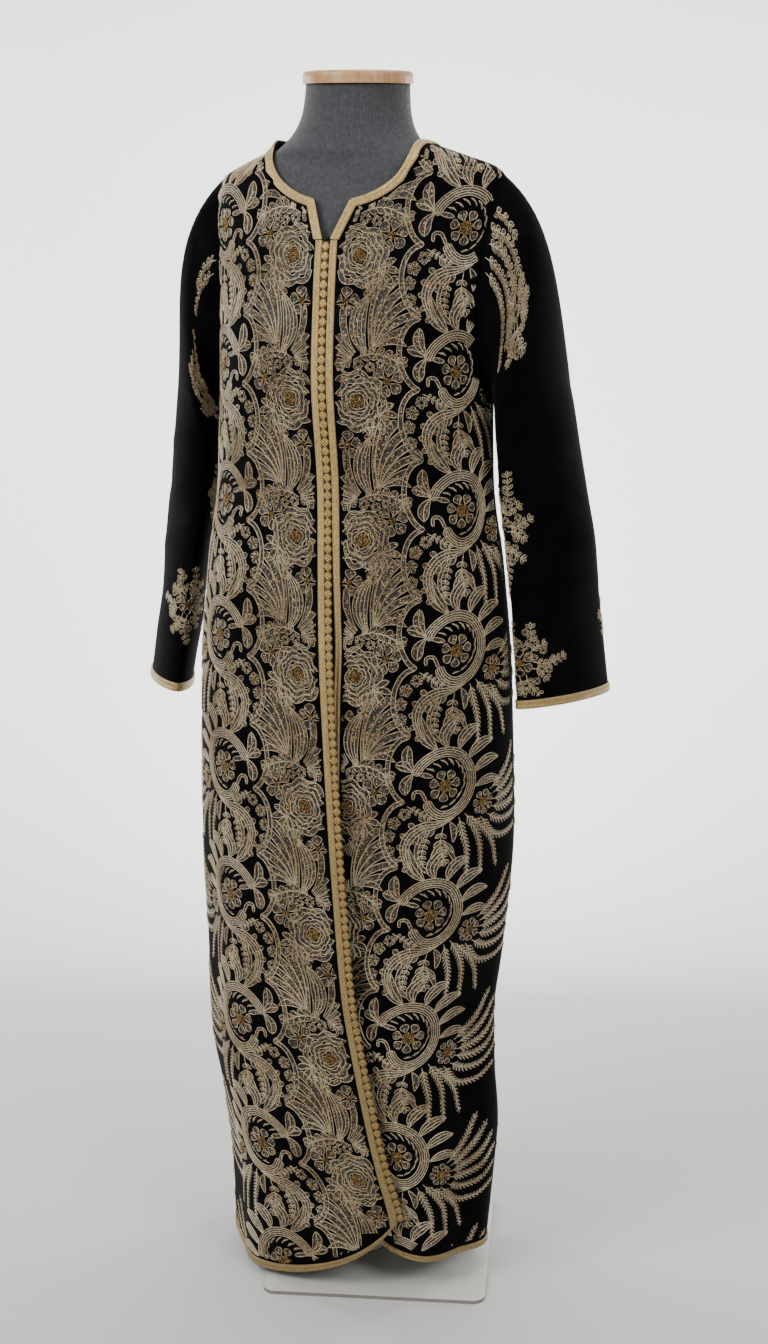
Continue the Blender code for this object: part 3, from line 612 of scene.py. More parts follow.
# Cotton velvet: a cut pile on a woven ground, matt black head on, with a grey bloom at the slopes
look = Look("cotton_velvet_black", {
    "Roughness": 0.95, "Specular IOR Level": 0.06, "Sheen Weight": 0.14, "Sheen Roughness": 0.38,
    "Sheen Tint": linear("#8C8A88"),
})
place = look.place()
brushed = look.noise(place, 16.0, 5.0, Roughness=0.6, Distortion=0.8)
tone = look.ramp(brushed, (0.34, "#030303"), (0.56, "#060607"), (0.74, "#0E0D0E"))
# The pile's tufts are 0.3 mm apart, and drawn 1.2 mm apart so that they break up the light
velvet = look.finish(tone, look.noise(place, 800.0, 2.0), 0.45, 0.0006)

for side in ("right", "left"):
    under = side == "left"
    angles, heights = front_grid(side)
    outer = cloth_skin(angles, heights, 0.0, under)
    inner = cloth_skin(angles, heights, -WALL, under)
    name = "velvet_front_" + side
    panel = add_piece(name, wall_mesh(name, outer, inner), velvet)
    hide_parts("front_" + side)


# Velvet back
# One piece from the shoulders to the hem, in the same cloth. It hangs in soft flutes that fade out
# above the waist, like those of the fronts.
def back_grid():
    angles, heights = [], []
    for row in panel_rows():
        if UNDERARM < row < SHOULDER_TIP:
            start = float(armhole_angle(row, behind=True))
            end = 2 * math.pi - start
        else:
            gap = float(turn_for(SEAM / 2, math.pi / 2, row))
            start = math.pi / 2 + gap
            end = 1.5 * math.pi + math.radians(float(seam_turn(row))) - gap
        line = np.linspace(start, end, BACK_COLUMNS + 1)
        share = max(0.0, (row - BACK_DROP_FROM) / (PANEL_TOP - BACK_DROP_FROM))
        angles.append(line)
        heights.append(row - neck_drop(line) * share + hem_rise(line, row))
    return np.array(angles), np.array(heights)


back_angles, back_heights = back_grid()
outer = cloth_skin(back_angles, back_heights, 0.0)
inner = cloth_skin(back_angles, back_heights, -WALL)
velvet_back = add_piece("velvet_back", wall_mesh("velvet_back", outer, inner), velvet)
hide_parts("back")


# Sleeves
# One-piece sleeves of the same velvet, set into the armholes. With no arm inside they hang flat,
# with a crease down the front and the back and a few drag folds at the elbow.
SLEEVE = (
    # height, x, y, half_long, half_thick, tilt, twist (degrees)
    (0.778, 0.2625, 0.048, 0.079, 0.027, 6, 30),
    (0.870, 0.2530, 0.050, 0.075, 0.028, 6, 30),
    (0.947, 0.2450, 0.050, 0.073, 0.030, 7, 30),
    (1.020, 0.2345, 0.048, 0.072, 0.033, 8, 29),
    (1.086, 0.2265, 0.044, 0.072, 0.036, 18, 24),
    (1.150, 0.2190, 0.038, 0.080, 0.042, 42, 14),
)
SLEEVE_FOOT = 0.778
CUFF_BRAID = 0.011
SLEEVE_SHARPNESS = 0.30
SLEEVE_STRETCH = {"left": 1.0, "right": 1.05}
SLEEVE_SPREAD = {"left": 0.0, "right": 0.054}
SPREAD_FROM = 1.130
HEAD_LEAVE, HEAD_ARRIVE, HEAD_END = 0.36, 0.38, 0.80
SLEEVE_TURNS = 112
# Drag folds: turn from the outer side towards the front, height, half turn, half height, out
SLEEVE_FOLDS = (
    (70, 1.040, 42, 0.040, 0.004),
    (40, 0.985, 40, 0.030, -0.004),
    (95, 0.930, 40, 0.032, 0.004),
    (-60, 1.000, 45, 0.040, 0.004),
    (-30, 0.900, 40, 0.035, -0.003),
    (150, 0.860, 40, 0.035, 0.003),
)
# Small creases, slanting round the sleeve, in the same terms
SLEEVE_CREASES = (
    (20, 1.075, 26, 0.010, 0.0016),
    (55, 1.055, 22, 0.009, -0.0014),
    (30, 1.010, 24, 0.010, 0.0015),
    (-20, 1.030, 26, 0.011, -0.0014),
    (10, 0.955, 24, 0.012, 0.0014),
    (60, 0.895, 22, 0.012, -0.0012),
    (-50, 0.945, 24, 0.012, 0.0013),
    (25, 0.845, 26, 0.014, 0.0012),
    (160, 1.010, 28, 0.012, 0.0014),
    (-150, 0.930, 28, 0.013, -0.0013),
)
sleeve_x, sleeve_y, sleeve_long, sleeve_thick, sleeve_tilt, sleeve_twist = columns_of(SLEEVE)


def sleeve_point(turn, height, side):
    """A point on a sleeve below its head. turn runs from the outer side towards the front."""
    sign = 1 if side == "left" else -1
    tilt, twist = np.radians(sleeve_tilt(height)), np.radians(sleeve_twist(height))
    out = np.zeros(np.broadcast(turn, height).shape)
    for centre, level, half_turn, half_height, depth in SLEEVE_FOLDS + SLEEVE_CREASES:
        around = angle_between(turn, math.radians(centre)) / math.radians(half_turn)
        along = (height - level - 0.02 * np.sin(turn)) / half_height
        out = out + depth * np.exp(-around * around - along * along)
    reach_out = (sleeve_thick(height) + out) * np.cos(turn) * np.abs(np.cos(turn)) ** SLEEVE_SHARPNESS
    reach_front = (sleeve_long(height) + 0.5 * out) * np.sin(turn)
    spread = SLEEVE_SPREAD[side] * np.clip(SPREAD_FROM - height, 0, None)
    x = sleeve_x(height) + spread - reach_front * np.sin(twist)
    x = x + reach_out * np.cos(twist) * np.cos(tilt)
    y = sleeve_y(height) - reach_front * np.cos(twist) - reach_out * np.sin(twist) * np.cos(tilt)
    level = UNDERARM - (UNDERARM - height) * SLEEVE_STRETCH[side]
    return np.stack([sign * x, y, level + reach_out * np.sin(tilt)], -1)


def armhole_ring(turns, side):
    sign = 1 if side == "left" else -1
    middle, half = (UNDERARM + SHOULDER_TIP) / 2, (SHOULDER_TIP - UNDERARM) / 2 - ARMHOLE_GAP
    heights = middle + half * np.cos(turns)
    before = armhole_angle(heights, behind=False, shrink=ARMHOLE_GAP)
    behind = armhole_angle(heights, behind=True, shrink=ARMHOLE_GAP)
    around = np.where(np.sin(turns) >= 0, before, behind)
    share = np.clip((heights - BACK_DROP_FROM) / (PANEL_TOP - BACK_DROP_FROM), 0, None)
    return cloth_point(sign * around, heights - neck_drop(around) * share)


def sleeve_grid(side):
    """Rings of points from the armhole over the sleeve's head and down to the cuff."""
    sign = 1 if side == "left" else -1
    turns = np.linspace(0, 2 * math.pi, SLEEVE_TURNS, endpoint=False)
    start = armhole_ring(turns, side)
    end = sleeve_point(turns, np.full_like(turns, UNDERARM), side)
    span = np.linalg.norm(end - start, axis=1, keepdims=True)
    leave = [np.full_like(turns, sign * 0.80), -0.15 * np.sin(turns), -0.42 - 0.22 * np.cos(turns)]
    leave = unit(np.stack(leave, 1))
    arrive = unit(np.array([sign * 0.10, 0.08, -1.0]))
    near, far = start + leave * span * HEAD_LEAVE, end - arrive * span * HEAD_ARRIVE
    rings = []
    for t in np.concatenate([np.linspace(0, HEAD_END, 18), [0.9]]):
        bend = start * (1 - t) ** 3 + near * 3 * t * (1 - t) ** 2
        rings.append(bend + far * 3 * t * t * (1 - t) + end * t**3)
    arm = np.linspace(UNDERARM, SLEEVE_FOOT + CUFF_BRAID, 84)
    for height in np.concatenate([arm, [SLEEVE_FOOT + CUFF_BRAID / 2, SLEEVE_FOOT]]):
        rings.append(sleeve_point(turns, np.full_like(turns, height), side))
    return np.array(rings)


def ring_normals(points):
    """Outward normals of a grid whose rows close on themselves."""
    across = np.roll(points, -1, axis=1) - np.roll(points, 1, axis=1)
    normal = unit(np.cross(across, np.gradient(points, axis=0)))
    outwards = ((points - points.mean(axis=1, keepdims=True)) * normal).sum() > 0
    return normal if outwards else -normal


sleeves = {}
for side in ("right", "left"):
    outer = sleeve_grid(side)
    normals = ring_normals(outer)
    sleeves[side] = (outer, normals)
    name = "velvet_sleeve_" + side
    mesh = wall_mesh(name, outer, outer - normals * WALL, ring=True)
    sleeve = add_piece(name, mesh, velvet)
    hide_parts("sleeve_" + side)


# Gold braid
# Flat plaited braid of metallic gold thread round a cotton core, with two raised ridges, sewn by
# hand down the front edges and round the hem, the cuffs and the neck.
BRAID_THICK = 0.002
NECK_BRAID = 0.011
NECK_BRAID_LIFT = 0.0012
NECK_FOOT_GAP = 0.0012
# Across the braid: share of its width, share of its thickness
BRAID_SECTION = (
    (0.00, 0.00), (0.02, 0.55), (0.10, 0.88), (0.22, 1.00), (0.36, 0.86), (0.46, 0.62), (0.50, 0.58),
    (0.54, 0.62), (0.64, 0.86), (0.78, 1.00), (0.90, 0.88), (0.98, 0.55), (1.00, 0.00),
)


def strip_mesh(name, lines, closed=False):
    """A closed strip from lines of points across it. The first and last lines are its lower edges.

    Its UV map runs in millimetres, along the strip and then across it.
    """
    lines = np.asarray(lines)
    count, length = lines.shape[:2]
    last = length if closed else length - 1
    step = np.arange(last)
    after = (step + 1) % length
    faces = []
    for k in range(count):
        here, beside = k * length, (k + 1) % count * length
        faces.append(np.stack([here + step, here + after, beside + after, beside + step], -1))
    faces = np.concatenate(faces).tolist()
    if not closed:
        faces.append([k * length for k in range(count)])
        faces.append([k * length + length - 1 for k in reversed(range(count))])
    mesh = bpy.data.meshes.new(name)
    mesh.from_pydata(lines.reshape(-1, 3).tolist(), [], faces)
    along, width = run_along(lines[count // 2]), run_along(lines[:, length // 2])
    place = np.stack([np.tile(along, count), np.repeat(width, length)], -1) * 1000
    corners = np.zeros(len(mesh.loops), int)
    mesh.loops.foreach_get("vertex_index", corners)
    mesh.uv_layers.new(name="thread").data.foreach_set("uv", place[corners].ravel())
    turn_outwards(mesh)
    return mesh


def braid_between(name, near, far, under=False):
    """A braid over the cloth between two lines of (angles, heights)."""
    lines = []
    for share, height in BRAID_SECTION:
        angles = near[0] + (far[0] - near[0]) * share
        heights = near[1] + (far[1] - near[1]) * share
        lines.append(cloth_skin(angles, heights, SEAM + BRAID_THICK * height, under))
    return strip_mesh(name, lines)


def shade_towards_hem(look, colour, place):
    """Paints shade on a colour: darker towards the hem, where less light falls."""
    bright = look.span(look.split(place)["Z"], 0.15, 1.30, 0.60, 1.0)
    return look.add("VectorMath", {0: colour, "Scale": bright}, operation="SCALE")


# Gold braid: gilt thread wrapped on cotton and plaited, so each stitch is a short bright lens
look = Look("gilt_thread_braid", {"Roughness": 0.42, "Metallic": 0.55, "Sheen Weight": 0.1})
along, across, _ = look.split(look.add("UVMap", uv_map="thread"))
# Each plait is 2.2 mm long, and its lean turns back every 2.4 mm across the braid
lean = look.calculate("MULTIPLY_ADD", look.calculate("PINGPONG", across, 2.4), 0.8, along)
stitch = look.calculate("SINE", look.calculate("MULTIPLY", lean, math.pi / 2.2))
stitch = look.calculate("ABSOLUTE", stitch)
place = look.place()
worn = look.calculate("MULTIPLY_ADD", look.noise(place, 420.0, 4.0), 0.7, 0.0)
tone = look.ramp(
    look.calculate("MULTIPLY_ADD", stitch, 0.62, worn),
    (0.22, "#2C1F0C"), (0.48, "#7A5B2C"), (0.72, "#B5924F"), (0.95, "#E6CB90"),
)
# Painted shade darkens the gilt towards the hem
gilt = look.finish(shade_towards_hem(look, tone, place), stitch, 0.7, 0.0006)


def front_braid_lines(side):
    """Down a front's free edge and on round its hem: the outer and the inner line of the braid."""
    start = BRAID if side == "left" else 0.0
    rows = np.linspace(NOTCH_FOOT, HEM + HEM_BRAID, 330)
    near, far = [], []
    for row in rows:
        angles, heights = front_line(side, row, [start, start + BRAID])
        near.append((angles[0], heights[0]))
        far.append((angles[1], heights[1]))
    angles, heights = front_line(side, HEM, [start])
    near.append((angles[0], heights[0]))
    far.append(far[-1])
    _, end = front_limits(side, HEM)
    corner, _ = front_line(side, HEM, [start + BRAID])
    edge, _ = front_line(side, HEM, [0.0])
    high_edge, _ = front_line(side, HEM + HEM_BRAID, [0.0])
    line = np.linspace(corner[0], end, 110)
    for angle in line:
        for row, from_line, target in ((HEM, edge[0], near), (HEM + HEM_BRAID, high_edge[0], far)):
            target.append((angle, row + float(hem_rise(angle, row, angle - from_line, HEM_RISE[side]))))
    return np.array(near).T, np.array(far).T


for side in ("right", "left"):
    near, far = front_braid_lines(side)
    mesh = braid_between("edge_braid_" + side + "_gilt", near, far, under=side == "left")
    braid = add_piece("gilt_braid_front_" + side, mesh, gilt, sharp=80)
    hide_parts("edge_braid_" + side)

turns_round = np.linspace(back_angles[0][0], back_angles[0][-1], 200)
near = (turns_round, HEM + hem_rise(turns_round, HEM))
far = (turns_round, HEM + HEM_BRAID + hem_rise(turns_round, HEM + HEM_BRAID))
mesh = braid_between("gilt_braid_back_hem", near, far)
braid = add_piece("gilt_braid_back_hem", mesh, gilt, sharp=80)
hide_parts("hem_braid_back")


def neckline():
    """The neck's edge as angles and heights, from the notch's foot on the right round to the left."""
    rows = np.concatenate([
        np.linspace(NOTCH_FOOT + NECK_FOOT_GAP, NOTCH_HEAD, 14),
        [1.3925, 1.397, 1.402, 1.407, 1.4115, 1.416, 1.420, 1.4245, 1.429],
        [1.433, 1.437, 1.441, 1.445, 1.4485, 1.452, 1.4555, PANEL_TOP],
    ])
    right = [(float(angle_at(neck_x(height, -1), height)), height) for height in rows]
    behind = []
    for turn in np.linspace(-94, -266, 44):
        height = PANEL_TOP - BACK_NECK_DROP * math.sin(math.radians(-turn - 90)) ** 2
        behind.append((math.radians(turn), height))
    left = []
    for height in reversed(rows):
        left.append((float(angle_at(neck_x(height, 1), height)) - 2 * math.pi, height))
    return np.array(right + behind + left).T


def beside_path(angles, heights, distances):
    """Lines over the cloth beside a path, with mitred corners and level ends."""
    points = cloth_point(angles, heights)
    round_body, up = cloth_slopes(angles, heights)
    normal = unit(np.cross(round_body, up))
    steps = unit(np.diff(points, axis=0))
    before = np.cross(normal, np.concatenate([steps[:1], steps]))
    after = np.cross(normal, np.concatenate([steps, steps[-1:]]))
    across = before + after
    across[[0, -1], 2] = 0
    across = unit(across)
    mitre = 1 / np.clip((across * after).sum(1), 0.6, 1)
    lines = []
    for distance in distances:
        wanted = across * (mitre * distance)[:, None]
        line = np.array([angles, heights], float)
        for point in range(len(points)):
            both = np.stack([round_body[point], up[point]], 1)
            line[:, point] += np.linalg.lstsq(both, wanted[point], rcond=None)[0]
        lines.append(line)
    return lines


neck_angles, neck_heights = neckline()
distances = [share * NECK_BRAID for share, _ in BRAID_SECTION]
lines = []
for (share, height), line in zip(BRAID_SECTION, beside_path(neck_angles, neck_heights, distances)):
    lines.append(cloth_skin(line[0], line[1], NECK_BRAID_LIFT + BRAID_THICK * height))
braid = add_piece("gilt_braid_neck", strip_mesh("gilt_braid_neck", lines), gilt, sharp=80)
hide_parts("neck_braid")

for side in ("right", "left"):
    outer, normals = sleeves[side]
    ends, out = outer[[-3, -1]], normals[[-3, -1]]
    lines = []
    for share, height in BRAID_SECTION:
        line = ends[0] + (ends[1] - ends[0]) * share
        facing = unit(out[0] + (out[1] - out[0]) * share)
        lines.append(line + facing * (SEAM + BRAID_THICK * height))
    mesh = strip_mesh("gilt_braid_cuff_" + side, lines, closed=True)
    braid = add_piece("gilt_braid_cuff_" + side, mesh, gilt, sharp=80)
    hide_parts("cuff_braid_" + side)


# Knot buttons
# Small hard knots of gold cord, tied over a wooden bead and set close together on a narrow band at
# the right front's edge, each with a loop that holds it to the next.
BUTTON_PITCH = 0.0107
BUTTON_END = 0.002
KNOT_LENGTH, KNOT_WIDTH, KNOT_HEIGHT = 0.0104, 0.0096, 0.0042
# How far over the band, as a share of its width, and how far out a knot's middle sits
KNOT_PLACE, KNOT_LIFT = 0.52, 0.0017
rows = np.linspace(HEM, NOTCH_FOOT, 700)
edge = np.array([[value[0] for value in front_line("right", row, [0.0])] for row in rows])
edge_points = cloth_point(edge[:, 0], edge[:, 1])
round_body, up = cloth_slopes(edge[:, 0], edge[:, 1])
edge_up = unit(up)
edge_out = unit(np.cross(round_body, up))
edge_beside = np.cross(edge_up, edge_out)
top, foot = NOTCH_FOOT - BUTTON_END, edge[0, 1] + BUTTON_END
knots = int((top - foot) / BUTTON_PITCH)


def along_edge(height, values):
    return np.stack([np.interp(height, edge[:, 1], values[:, axis]) for axis in range(3)], -1)


def primitive(add, **settings):
    """The points and faces of one of Blender's primitives."""
    deselect()
    add(**settings)
    template = bpy.context.object
    points = np.array([vertex.co for vertex in template.data.vertices])
    faces = [list(face.vertices) for face in template.data.polygons]
    bpy.data.objects.remove(template)
    return points, faces


def mesh_of_copies(name, copies, faces):
    """One mesh of many copies of a shape, from the points of each and the faces of one."""
    corners = copies.shape[1]
    faces = [[index + k * corners for index in face] for k in range(len(copies)) for face in faces]
    mesh = bpy.data.meshes.new(name)
    mesh.from_pydata(copies.reshape(-1, 3).tolist(), [], faces)
    return mesh


ball, ball_faces = primitive(
    bpy.ops.mesh.primitive_uv_sphere_add, segments=14, ring_count=9, radius=0.5,
)
# Three turns of cord show on a knot: two cross over its face and one lies round its foot
turn = np.arctan2(ball[:, 1], ball[:, 0])
lobes = 1 + 0.10 * np.cos(4 * turn) * (1 - (2 * ball[:, 2]) ** 2)
dimple = 1 - 0.34 * np.exp(-(ball[:, 0] ** 2 + ball[:, 1] ** 2) / 0.020) * (ball[:, 2] > 0)
knot = ball * np.stack([lobes * KNOT_WIDTH, lobes * KNOT_LENGTH, dimple * KNOT_HEIGHT * 1.2], -1)
places = foot + (np.arange(knots) + 0.5) * (top - foot) / knots
line, out = along_edge(places, edge_points), unit(along_edge(places, edge_out))
beside, upward = unit(along_edge(places, edge_beside)), unit(along_edge(places, edge_up))
centres = line + beside * (BUTTON_BAND * KNOT_PLACE) + out * KNOT_LIFT
corners = (
    centres[:, None] + knot[None, :, :1] * beside[:, None] + knot[None, :, 1:2] * upward[:, None]
    + knot[None, :, 2:] * out[:, None]
)
mesh = mesh_of_copies("gilt_knot_buttons", corners, ball_faces)
turn_outwards(mesh)

# Gold cord: the same gilt thread, twisted hard, so the light breaks into small beads
look = Look("gilt_cord_knotted", {"Roughness": 0.40, "Metallic": 0.55})
place = look.place()
strands = look.add(
    "TexWave", {"Scale": 170.0, "Distortion": 2.0, "Vector": place}, "Fac", wave_type="BANDS",
    bands_direction="DIAGONAL",
)
tone = look.ramp(strands, (0.10, "#6A4A1C"), (0.45, "#C0974D"), (0.90, "#F0D08C"))
# Painted shade darkens the cord towards the hem, as on the braid
cord_gilt = look.finish(shade_towards_hem(look, tone, place), strands, 0.8, 0.0006)
buttons = add_piece("gilt_knot_buttons", mesh, cord_gilt, sharp=70)
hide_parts("button_row")

heights = np.linspace(foot - BUTTON_END / 2, top + BUTTON_END / 2, 340)
line, out, beside = (along_edge(heights, values) for values in (edge_points, edge_out, edge_beside))
lines = []
for share, height in (
    (0.06, 0.0005), (0.06, 0.0016), (0.30, 0.0020), (0.70, 0.0020), (0.98, 0.0016), (0.98, 0.0005),
):
    lines.append(line + beside * (share * BUTTON_BAND) + out * height)
# Dark brown cotton gimp: the band under the knots, whose edge shows between them
look = Look("dyed_cotton_gimp", {"Roughness": 0.85})
threads = look.add("UVMap", uv_map="thread")
weave = look.add(
    "TexWave", {"Scale": 0.35, "Distortion": 1.0, "Vector": threads}, "Fac", bands_direction="X",
)
gimp = look.finish(look.ramp(weave, (0.2, "#2A2012"), (0.8, "#5A4522")))
add_piece("button_band", strip_mesh("button_band", lines), gimp)


# Couched embroidery
# Each shape is drawn by a thin silk cord laid on the velvet and sewn down, and filled with rows of
# small beads. It covers both fronts and spills on to the sleeves; the back has scattered sprays.
REPEAT = 166.0
FIRST_ROSE = 1328.0
# A cord's width in millimetres, and in metres the heights of its ridge, its sides and its foot
CORD, CORD_HIGH, FILL_HIGH, CORD_FOOT = 0.92, 0.00110, 0.00030, -0.0001
# Strokes lie in turn on seven layers, so that where they cross one lies over the other
LAYERS, LAYER, CORD_END = 7, 0.00005, 0.00012
# A bead's radius, and how far its middle stands out, as a share of that
BEAD, BEAD_LIFT = 0.00125, 0.7
GOLDEN_TURN = 2.39996
BRAID_MARGIN = 0.0015
# How far the cords stay from a seam: as a turn round the body, and round a sleeve in metres
SEAM_MARGIN, SLEEVE_MARGIN = 0.012, 0.006
NET = 0.004


def curve(points, step):
    """An even chain of points on a smooth curve through a few points, in millimetres."""
    points = np.asarray(points, float)
    ends = np.concatenate([[2 * points[0] - points[1]], points, [2 * points[-1] - points[-2]]])
    t = np.linspace(0, 1, 12, endpoint=False)[:, None]
    runs = []
    for a, b, c, d in zip(ends, ends[1:], ends[2:], ends[3:]):
        bend, twist = 2 * a - 5 * b + 4 * c - d, 3 * b - a - 3 * c + d
        runs.append(b + 0.5 * ((c - a) * t + bend * t**2 + twist * t**3))
    fine = np.concatenate(runs + [points[-1:]])
    length = run_along(fine)
    at = np.linspace(0, length[-1], max(4, int(round(length[-1] / step)) + 1))
    return np.stack([np.interp(at, length, fine[:, 0]), np.interp(at, length, fine[:, 1])], 1)


def turned(way, angle):
    """A flat direction turned by an angle."""
    c, s = math.cos(angle), math.sin(angle)
    return np.array([way[0] * c - way[1] * s, way[0] * s + way[1] * c])


def half_widths(shape, u, ratio):
    """Share of the half width along a stroke. ratio is its half width over its length."""
    if shape == "leaf":
        return np.maximum(np.sin(math.pi * u) ** 0.8, 0.05)
    if shape == "petal":
        return np.maximum(np.sin(math.pi * u**1.5) ** 0.65, 0.12)
    if shape == "feather":
        tip = np.clip((u - 1 + ratio) / max(ratio, 1e-6), 0, 1)
        return (0.30 + 0.70 * smooth_step(u / 0.65)) * np.sqrt(np.maximum(1 - tip * tip, 0.03))
    near = np.clip(np.minimum(u, 1 - u) / max(ratio, 1e-6), 0, 1)
    return 0.55 + 0.45 * np.sqrt(1 - (1 - near) ** 2)


class Pattern:
    """Strokes of cord and discs of beads, drawn flat in millimetres: x across the cloth and y up it."""

    def __init__(self):
        self.strokes = {}
        self.beads = []

    def stroke(self, points, width, lanes=1, shape="even", step=2.8):
        """Cords side by side along a line, with rows of beads in the lanes between them."""
        path = curve(points, step)
        length = np.linalg.norm(np.diff(path, axis=0), axis=1).sum()
        half = width / 2 * half_widths(shape, np.linspace(0, 1, len(path)), width / 2 / max(length, 1))
        self.strokes.setdefault(lanes, []).append((path, half))

    def bead_disc(self, x, y, radius):
        count = max(3, int((radius / 2.4 * 1.85) ** 2))
        k = np.arange(count) + 0.5
        reach, around = radius * np.sqrt(k / count), k * GOLDEN_TURN
        self.beads.append(np.stack([x + reach * np.cos(around), y + reach * np.sin(around)], 1))

    def rose(self, x, y, radius, turn):
        """Rings of petals that overlap, each a short arc, round a beaded heart."""
        rings = ((0.885, 8, 0.0, 7.4), (0.685, 7, 0.4, 6.6), (0.50, 5, 0.1, 6.0), (0.325, 4, 0.6, 5.0))
        for share, petals, shift, width in rings:
            for petal in range(petals):
                middle = turn + 2 * math.pi * (petal + shift) / petals
                s = np.linspace(-1, 1, 7)
                around = middle + s * math.pi / petals * 1.06
                reach = radius * share * (1 + 0.075 * np.cos(math.pi * s))
                arc = np.stack([x + reach * np.cos(around), 1.06 * reach * np.sin(around) + y], 1)
                self.stroke(arc, width * radius / 33, 1, step=2.4)
        self.bead_disc(x, y, radius * 0.24)

    def blossom(self, x, y, radius, petals, turn=0.0, centre=0.24):
        """A small flower of plump petals round a few beads."""
        for petal in range(petals):
            a = turn + 2 * math.pi * petal / petals
            spread = 2 * math.pi * radius * 0.66 / petals
            reaches = (radius * centre, radius * 0.6, radius)
            line = [(x + r * math.cos(a), y + r * math.sin(a)) for r in reaches]
            self.stroke(line, spread, 1, "petal", 1.9)
        if radius > 8:
            self.bead_disc(x, y, radius * centre)

    def stem(self, points, spacing, width):
        """A stem of cord, with even places along it and the way it runs at each."""
        line = curve(points, spacing)
        self.stroke(points, width, 0, step=4.0)
        return line, unit(np.gradient(line, axis=0))

    def plume(self, points, size):
        """A stem with close pairs of small leaves that grow shorter to its tip."""
        line, ways = self.stem(points, 5.6, 1.6)
        for k, (at, way) in enumerate(zip(line[1:], ways[1:])):
            for side in (-1, 1):
                leaf = turned(way, 0.62 * side) * size * (1.05 - 0.45 * k / len(line))
                self.stroke([at, at + leaf * 0.5 + way * 0.5, at + leaf], size * 0.42, 0, "leaf", 2.3)
        tip = ways[-1] * size
        self.stroke([line[-1], line[-1] + tip * 0.5, line[-1] + tip], 3.4, 0, "leaf", 2.3)

    def twig(self, points, size=8.5, spacing=7.5, width=4.4, lean=0.8):
        """A stem with open loops of cord in pairs, and one at its tip."""
        line, ways = self.stem(points, spacing, 1.5)
        for at, way in zip(line[1:], ways[1:]):
            for side in (-1, 1):
                loop = turned(way, lean * side) * size
                self.stroke([at, at + loop * 0.55, at + loop], width, 1, "petal", 2.2)
        tip = ways[-1] * size
        self.stroke([line[-1], line[-1] + tip * 0.55, line[-1] + tip], width, 1, "petal", 2.2)

    def spray(self, x, y, wide, high, arms=9, turn=0.0, fill=0):
        """A flower with twigs all round it, in the shape of a lozenge."""
        self.blossom(x, y, min(wide, high) * 0.30, 6, turn + 0.3, 0.3)
        for k in range(fill):
            a, share = k * GOLDEN_TURN, 0.36 + 0.52 * ((k * 7) % 11) / 11
            reach = share / (abs(math.cos(a)) / wide + abs(math.sin(a)) / high)
            self.blossom(x + reach * math.cos(a), y + reach * math.sin(a), 5.0, 4, a)
        for arm in range(arms):
            a = turn + 2 * math.pi * arm / arms
            way = np.array([math.cos(a), math.sin(a)])
            reach = 1 / (abs(way[0]) / wide + abs(way[1]) / high) * (1.0 + 0.12 * (arm % 2)) - 7
            start = min(wide, high) * 0.30 * 0.9
            if reach < start + 6:
                continue
            bend = np.array([-way[1], way[0]]) * reach * 0.10 * (1 if arm % 2 else -1)
            middle = np.array([x, y])
            self.twig([
                middle + way * start, middle + way * (start + reach) / 2 + bend, middle + way * reach,
            ])



